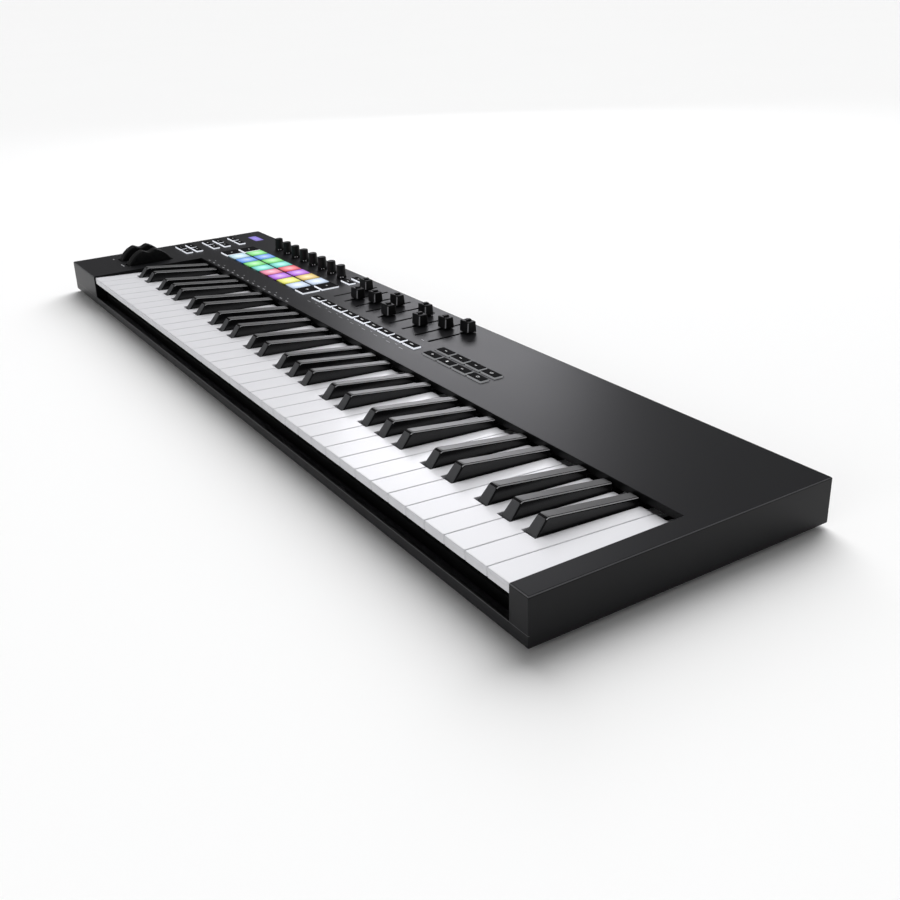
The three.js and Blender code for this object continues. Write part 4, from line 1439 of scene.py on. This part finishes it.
@dataclass
class Knobs:
    """Eight rubber-skinned knobs in a row behind the pads."""

    shop: Workshop
    base_radius: float = 5.7
    top_radius: float = 5.0
    height: float = 14.4
    shaft: float = 3.0

    def build(self) -> None:
        """Builds every knob with its pointer marks."""
        base = self.shop.panel + 0.5
        top = base + self.height
        for i in range(1, 9):
            node = f"knob_{i}"
            middle = self.shop.middle(node)
            r, t = self.base_radius, self.top_radius
            profile = [(0.01, 31.0), (self.shaft, 31.0), (self.shaft, base), (r - 0.3, base), (r, base + 0.3),
                       (r, base + 1.7), (r - 0.25, base + 2.2), (t + 0.25, base + 2.8), (t, top - 1.2),
                       (t - 0.15, top - 0.55), (t - 0.5, top - 0.15), (t - 1.0, top), (t - 1.5, top - 0.12),
                       (0.01, top - 0.2)]
            draft = Draft()
            draft.turned(profile, (middle.x, middle.y, 0.0), 40)
            piece = draft.build(f"{node}_rubber", RUBBER.material(), CAP_ANGLE)
            self.shop.add(piece, node, "rubber", node)
            self.marks(node, middle, base)

    def marks(self, node: str, middle: Vector, base: float) -> None:
        """Draws the two small pale marks low on the knob's front right side."""
        draft = Draft()
        for degrees in (-37.0, -9.0):
            angle = math.radians(degrees)
            reach = self.base_radius
            at = (middle.x + math.cos(angle) * reach, middle.y + math.sin(angle) * reach, base + 1.1)
            draft.turned([(0.01, -0.6), (0.6, -0.6), (0.6, 0.5), (0.01, 0.6)], at, 10)
        self.shop.add(draft.build(f"{node}_marks", MARK.material()), node, "rim")


@dataclass
class Faders:
    """Nine fader caps that run in slots of the panel."""

    shop: Workshop
    width: float = 14.2
    stem: Point2 = (1.3, 5.0)
    rib: tuple[float, float, float] = (4.2, 6.4, 1.7)

    def outline(self) -> list[Point2]:
        """The cap's side view, which narrows upwards to a lightly dished top, counter-clockwise."""
        front = [(-5.2, 0.0, 0.3), (-5.2, 1.6, 0.8), (-4.5, 11.2, 0.9), (-2.0, 10.9, 1.2)]
        rear = [(-y, z, r) for y, z, r in front]
        return rounded([*rear, *reversed(front)], 3)

    def build(self) -> None:
        """Builds every cap with its rib, its pale pointer and a painted highlight down its front corner."""
        base = self.shop.panel + 0.8
        half = self.width / 2
        for i in range(1, 10):
            node = f"fader_{i}"
            middle = self.shop.middle(node)
            steps = [(0.8, -half), (0.3, -half + 0.2), (0.05, -half + 0.6), (0.0, -half + 1.1)]
            steps += [(d, -x) for d, x in reversed(steps)]
            draft = Draft()
            draft.across(self.outline(), [(d, middle.x + x) for d, x in steps], (middle.y, base))
            draft.block((middle.x - self.stem[0] / 2, middle.y - self.stem[1] / 2, 32.2),
                        (middle.x + self.stem[0] / 2, middle.y + self.stem[1] / 2, base + 0.6))
            width, depth, rise = self.rib
            draft.block((middle.x - width / 2, middle.y - depth / 2, base + 9.5),
                        (middle.x + width / 2, middle.y + depth / 2, base + 10.9 + rise), 0.9)
            piece = draft.build(f"{node}_cap", RUBBER.material(), CAP_ANGLE)
            self.shop.add(piece, node, "rubber", node)
            self.marks(node, middle, base)

    def marks(self, node: str, middle: Vector, base: float) -> None:
        """Draws the pale pointer on the rib's front, and a painted highlight down the cap's front corner in
        the same pale print colour.
        """
        width, depth, rise = self.rib
        front = middle.y - depth / 2
        half = self.width / 2
        draft = Draft()
        draft.block((middle.x - width / 2 + 0.5, front - 0.12, base + 11.3),
                    (middle.x + width / 2 - 0.5, front + 0.4, base + 11.9), 0.1)
        # The strip down the front corner is a painted highlight of the corner's edge.
        corner = [(-4.45, 1.4), (-3.5, 1.4), (-3.1, 10.2), (-3.8, 10.2)]
        ends = [(0.0, middle.x + half - 0.75), (0.0, middle.x + half + 0.05)]
        draft.across([(y - 0.75, z) for y, z in corner], ends, (middle.y, base))
        self.shop.add(draft.build(f"{node}_marks", PRINT.material()), node, "rim")


@dataclass
class Electrics:
    """The display, the boards and the sockets in the rear wall."""

    shop: Workshop

    def build(self) -> None:
        """Builds the display and the socket fittings, and dresses the boards."""
        self.display()
        for node, finish in (
            ("control_board", BOARD),
            ("main_board", BOARD),
            ("display_module", INNER_FRAME),
            ("usb_socket", STEEL),
            ("midi_socket", INNER_FRAME),
            ("pedal_socket", INNER_FRAME),
        ):
            self.shop.dress(node, finish.material())
        self.fittings()

    def display(self) -> None:
        """Builds the display's window, which glows from within."""
        low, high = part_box("display_window")
        draft = Draft()
        middle = ((low.x + high.x) / 2 / MM, (low.y + high.y) / 2 / MM)
        width, depth = (high.x - low.x) / MM, (high.y - low.y) / MM
        top = high.z / MM
        draft.upright(rectangle(width, depth, 0.8), [(0.0, low.z / MM), (0.0, top - 0.2), (0.2, top)], middle)
        draft.unwrap((width, depth), lambda place: middle)
        glass = draft.build("display_glass", DisplayFinish().material())
        self.shop.add(glass, "case", "display", "display_window")

    def fittings(self) -> None:
        """Builds the tongue, pins and nut inside and around the sockets."""
        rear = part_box("case_shell")[1].y / MM
        usb = self.shop.middle("usb_socket")
        tongue = Draft()
        tongue.block((usb.x - 2.8, rear - 11.0, usb.z - 1.4), (usb.x + 2.8, rear - 3.0, usb.z + 1.4), 0.2)
        self.shop.add(tongue.build("usb_tongue", MARK.material()), "case", "rim")
        midi = self.shop.middle("midi_socket")
        pin = Draft()
        pin.turned([(0.01, -2.0), (0.75, -2.0), (0.75, 2.0), (0.01, 2.0)], (0, 0, 0), 10, "Y")
        pins = self.shop.ring.lay("midi_pins", pin.build("pin_draft", STEEL.material()), 5, 5.0, 180.0,
                                  (midi.x, rear - 7.0, midi.z), (90, 0, 0))
        self.shop.add(pins, "case", "steel")
        pedal = self.shop.middle("pedal_socket")
        nut = Draft()
        sides = 32
        rings = []
        for radius, along in ((5.6, -0.2), (5.6, 1.0), (5.2, 1.3), (3.5, 1.3), (3.3, 1.0), (3.3, -0.2),
                              (5.6, -0.2)):
            rings.append([(pedal.x + radius * math.sin(2 * math.pi * i / sides), rear + along,
                           pedal.z + radius * math.cos(2 * math.pi * i / sides)) for i in range(sides)])
        nut.rings(rings, closed=False)
        bmesh.ops.remove_doubles(nut.mesh, verts=nut.mesh.verts, dist=1e-5)
        self.shop.add(nut.build("pedal_nut", STEEL.material()), "case", "steel")


# ------------------------------------------------------------------------------------------------ studio


FLOOR = Finish("studio_floor", (0.92, 0.92, 0.92), (0.93, 0.93, 0.93), 0.9, 0.02, 2.0, 200.0, 0.02, 0.02,
               specular=0.1)


@dataclass
class Studio:
    """The floor, the lights and the camera."""

    location: tuple[float, float, float] = (0.8852, -0.4359, 0.3652)
    azimuth: float = -59.12
    elevation: float = -22.56
    roll: float = -2.41
    lens: float = 42.284
    shift: Point2 = (0.0322, -0.0447)
    world_strength: float = 0.15

    def build(self) -> None:
        """Builds the whole studio."""
        self.floor()
        self.world()
        self.lights()
        self.camera()

    def floor(self) -> None:
        """Lays a large pale floor at the height of the feet."""
        mesh = bpy.data.meshes.new("studio_floor")
        half = 60.0
        corners = [(-half, -half, 0), (half, -half, 0), (half, half, 0), (-half, half, 0)]
        mesh.from_pydata(corners, [], [(0, 1, 2, 3)])
        mesh.materials.append(FLOOR.material())
        floor = bpy.data.objects.new("studio_floor", mesh)
        bpy.context.scene.collection.objects.link(floor)

    def world(self) -> None:
        """Fills the room with soft white light."""
        world = bpy.data.worlds.new("studio")
        world.use_nodes = True
        world.node_tree.nodes["Background"].inputs["Color"].default_value = (1.0, 1.0, 1.0, 1.0)
        world.node_tree.nodes["Background"].inputs["Strength"].default_value = self.world_strength
        bpy.context.scene.world = world

    def area(self, name: str, at: Sequence[float], aim: Sequence[float], size: Point2, power: float) -> None:
        """Hangs one soft box."""
        data = bpy.data.lights.new(name, "AREA")
        data.shape = "RECTANGLE"
        data.size, data.size_y = size
        data.energy = power
        data.color = (0.955, 0.95, 1.0)
        light = bpy.data.objects.new(name, data)
        light.location = at
        light.rotation_euler = (Vector(aim) - Vector(at)).to_track_quat("-Z", "Y").to_euler()
        bpy.context.scene.collection.objects.link(light)

    def lights(self) -> None:
        """Hangs the broad lights, and a soft box behind whose sheen lies along the panel."""
        self.area("rear_left", (-1.40, 1.10, 0.73), (0.16, 0.05, 0.04), (0.6, 0.4), 4.4)
        self.sun("broad_rear_left", (0.85, -0.85, -1.0), 4.1, 62.0)
        self.sun("front_fill", (-0.2, 1.0, -0.2), 0.9, 40.0)

    def sun(self, name: str, way: Sequence[float], strength: float, angle: float) -> None:
        """Adds an even light that travels one way, some degrees wide, and shows in no reflection."""
        data = bpy.data.lights.new(name, "SUN")
        data.energy = strength
        data.angle = math.radians(angle)
        light = bpy.data.objects.new(name, data)
        light.rotation_euler = Vector(way).to_track_quat("-Z", "Y").to_euler()
        light.visible_glossy = False
        bpy.context.scene.collection.objects.link(light)

    def camera(self) -> None:
        """Sets up the camera."""
        azimuth, elevation, roll = (math.radians(v) for v in (self.azimuth, self.elevation, self.roll))
        ahead = Vector((math.sin(azimuth) * math.cos(elevation), math.cos(azimuth) * math.cos(elevation),
                        math.sin(elevation)))
        side = ahead.cross(Vector((0, 0, 1))).normalized()
        up = side.cross(ahead)
        right = side * math.cos(roll) + up * math.sin(roll)
        above = up * math.cos(roll) - side * math.sin(roll)
        data = bpy.data.cameras.new("camera")
        data.sensor_width = 36.0
        data.lens = self.lens
        data.shift_x, data.shift_y = self.shift
        data.clip_start, data.clip_end = 0.01, 300.0
        camera = bpy.data.objects.new("camera", data)
        matrix = Matrix((right, above, -ahead)).transposed().to_4x4()
        matrix.translation = Vector(self.location)
        camera.matrix_world = matrix
        bpy.context.scene.collection.objects.link(camera)
        bpy.context.scene.camera = camera


def main() -> None:
    """Builds the keyboard and its studio in order."""
    logging.basicConfig(level=logging.INFO, format="%(message)s")
    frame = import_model()
    scene = bpy.context.scene
    scene.view_settings.view_transform = "Standard"
    shop = Workshop(frame, Rows(), Ring())
    Case(shop).build()
    Keybed(shop).build()
    BenderWheels(shop).build()
    Buttons(shop).build()
    Pads(shop).build()
    Knobs(shop).build()
    Faders(shop).build()
    Electrics(shop).build()
    Studio().build()


if __name__ == "__main__":
    main()
